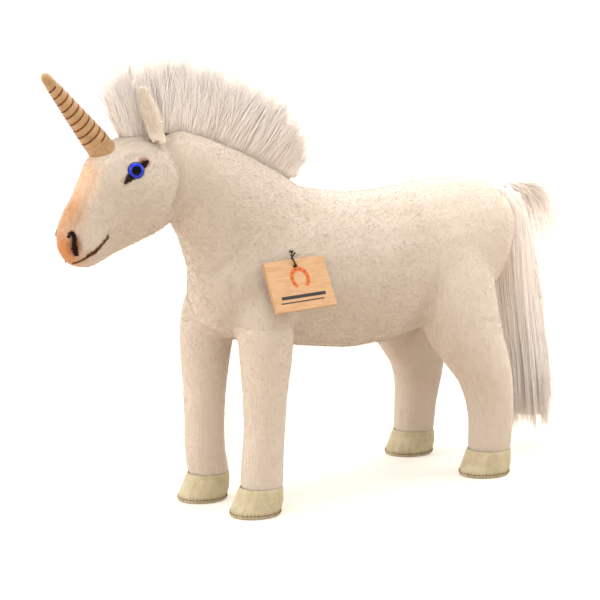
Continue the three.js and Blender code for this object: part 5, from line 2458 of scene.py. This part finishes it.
MANE = (
    Root(44.158, 258.5, 50, 24, 6),
    Root(55.158, 263, 41, 44, 10),
    Root(75.158, 273, 32, 62, 14),
    Root(99.158, 282.5, 24, 66, 16),
    Root(127.158, 292.5, 14, 68, 14),
    Root(151.158, 296.5, 4, 69, 10),
    Root(165.158, 297, -4, 69, 9.5),
)
FORELOCK = (
    Root(170.158, 296, -4, 66, 8),
    Root(175.658, 294, -8, 66, 9),
    Root(183.158, 293, -14, 60, 10),
    Root(193.158, 291, -24, 50, 8),
)


def main() -> None:
    """Builds the studio and the unicorn's pieces in order."""
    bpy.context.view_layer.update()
    studio = Studio()
    studio.camera()
    studio.room()

    plush = KnittedPlush().build()
    ribbed = KnittedPlush(
        name="woven_mohair_plush_ribbed", rib_mm=1.9, tuft_mm=1.0, pale="C5B9AB", deep="B9AC9B"
    ).build()
    dyed = KnittedPlush(name="woven_mohair_plush_airbrushed", sprays=face_sprays()).build()
    fluffy = KnittedPlush(name="woven_mohair_plush_ear", pale="DACFC0", deep="C9BBA7").build()
    pile = LongPile(low=0.262, high=0.335).build()
    pile_core = LongPile(
        name="long_mohair_pile_backing", low=0.27, high=0.36, root="FAEEDF", tip="FFF8F0", glow=0.0
    ).build()
    tail_pile = LongPile(
        name="long_mohair_pile_tail", low=0.20, high=0.05, root="FFF6EC", tip="FFFBF6"
    ).build()
    suede = Suede().build()
    horn_cloth = WovenCloth("cotton_horn_cloth", "AE8E68", "9A7A55", 0.7).build()
    thread = TwistedThread("rayon_thread_brown", "7A3D16", "60300F").build()
    ecru = TwistedThread("cotton_thread_ecru", "A0906A", "86764F").build()
    dark = TwistedThread("embroidery_floss_black_brown", "24130C", "0C0605").build()
    brown = TwistedThread("embroidery_floss_brown", "6E3716", "351708").build()
    cord = TwistedThread("waxed_cotton_cord_dark", "3A241A", "1E120D", 0.6, 0.45).build()
    tape = WovenCloth("cotton_twill_tape", "EFE4D4", "DFD0BB", 0.9).build()

    hide = Hide()
    hide.sew()
    Embroidery(hide).make(dark, brown)
    hide.cut(plush, ribbed, dyed)
    Stuffing().fill((*hide.stuffing, "horn_filling"), Wadding().build())
    for corner in ("front_left", "front_right", "hind_left", "hind_right"):
        Hoof(corner).make(suede, ecru)
    Horn().make(horn_cloth, thread)
    for side in Side:
        Ear(side).make(fluffy)
        Eye(side).make(
            Glazed("moulded_acrylic_black", "07060A", "15131A").build(),
            Glazed("painted_acrylic_blue", "0D34D6", "0921A4", 0.3, 0.08, 0.7, 0.3).build(),
            Glazed("moulded_acrylic_pupil", "010104", "030306", 0.15, 0.02, 0.6, 0.12).build(),
        )
    Crest("mane_pile", MANE, 7600, 170, SEED + 50).make(pile_core, pile)
    Crest("forelock_pile", FORELOCK, 2200, 46, SEED + 51).make(pile_core, pile)
    Tail().make(pile_core, tail_pile)
    Tag().make(
        Maple().build(),
        cord,
        Glazed("printed_ink_orange", "C4631C", "B45614", 0.5, 0.1, 2.0).build(),
        Glazed("printed_ink_black", "191512", "241E1A", 0.5, 0.1, 2.0).build(),
    )
    washer = Glazed("moulded_nylon_washer", "E9E6DF", "D9D5CB", 0.4, 0.0, 3.0).build()
    kept = {"eye_washer_left": washer, "eye_washer_right": washer}
    kept |= {"mane_tape": tape, "tail_tab": tape, "tail_stub": tape}
    for name, finish in kept.items():
        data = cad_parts[name].data
        data.materials.clear()
        data.materials.append(finish)


if __name__ == "__main__":
    main()
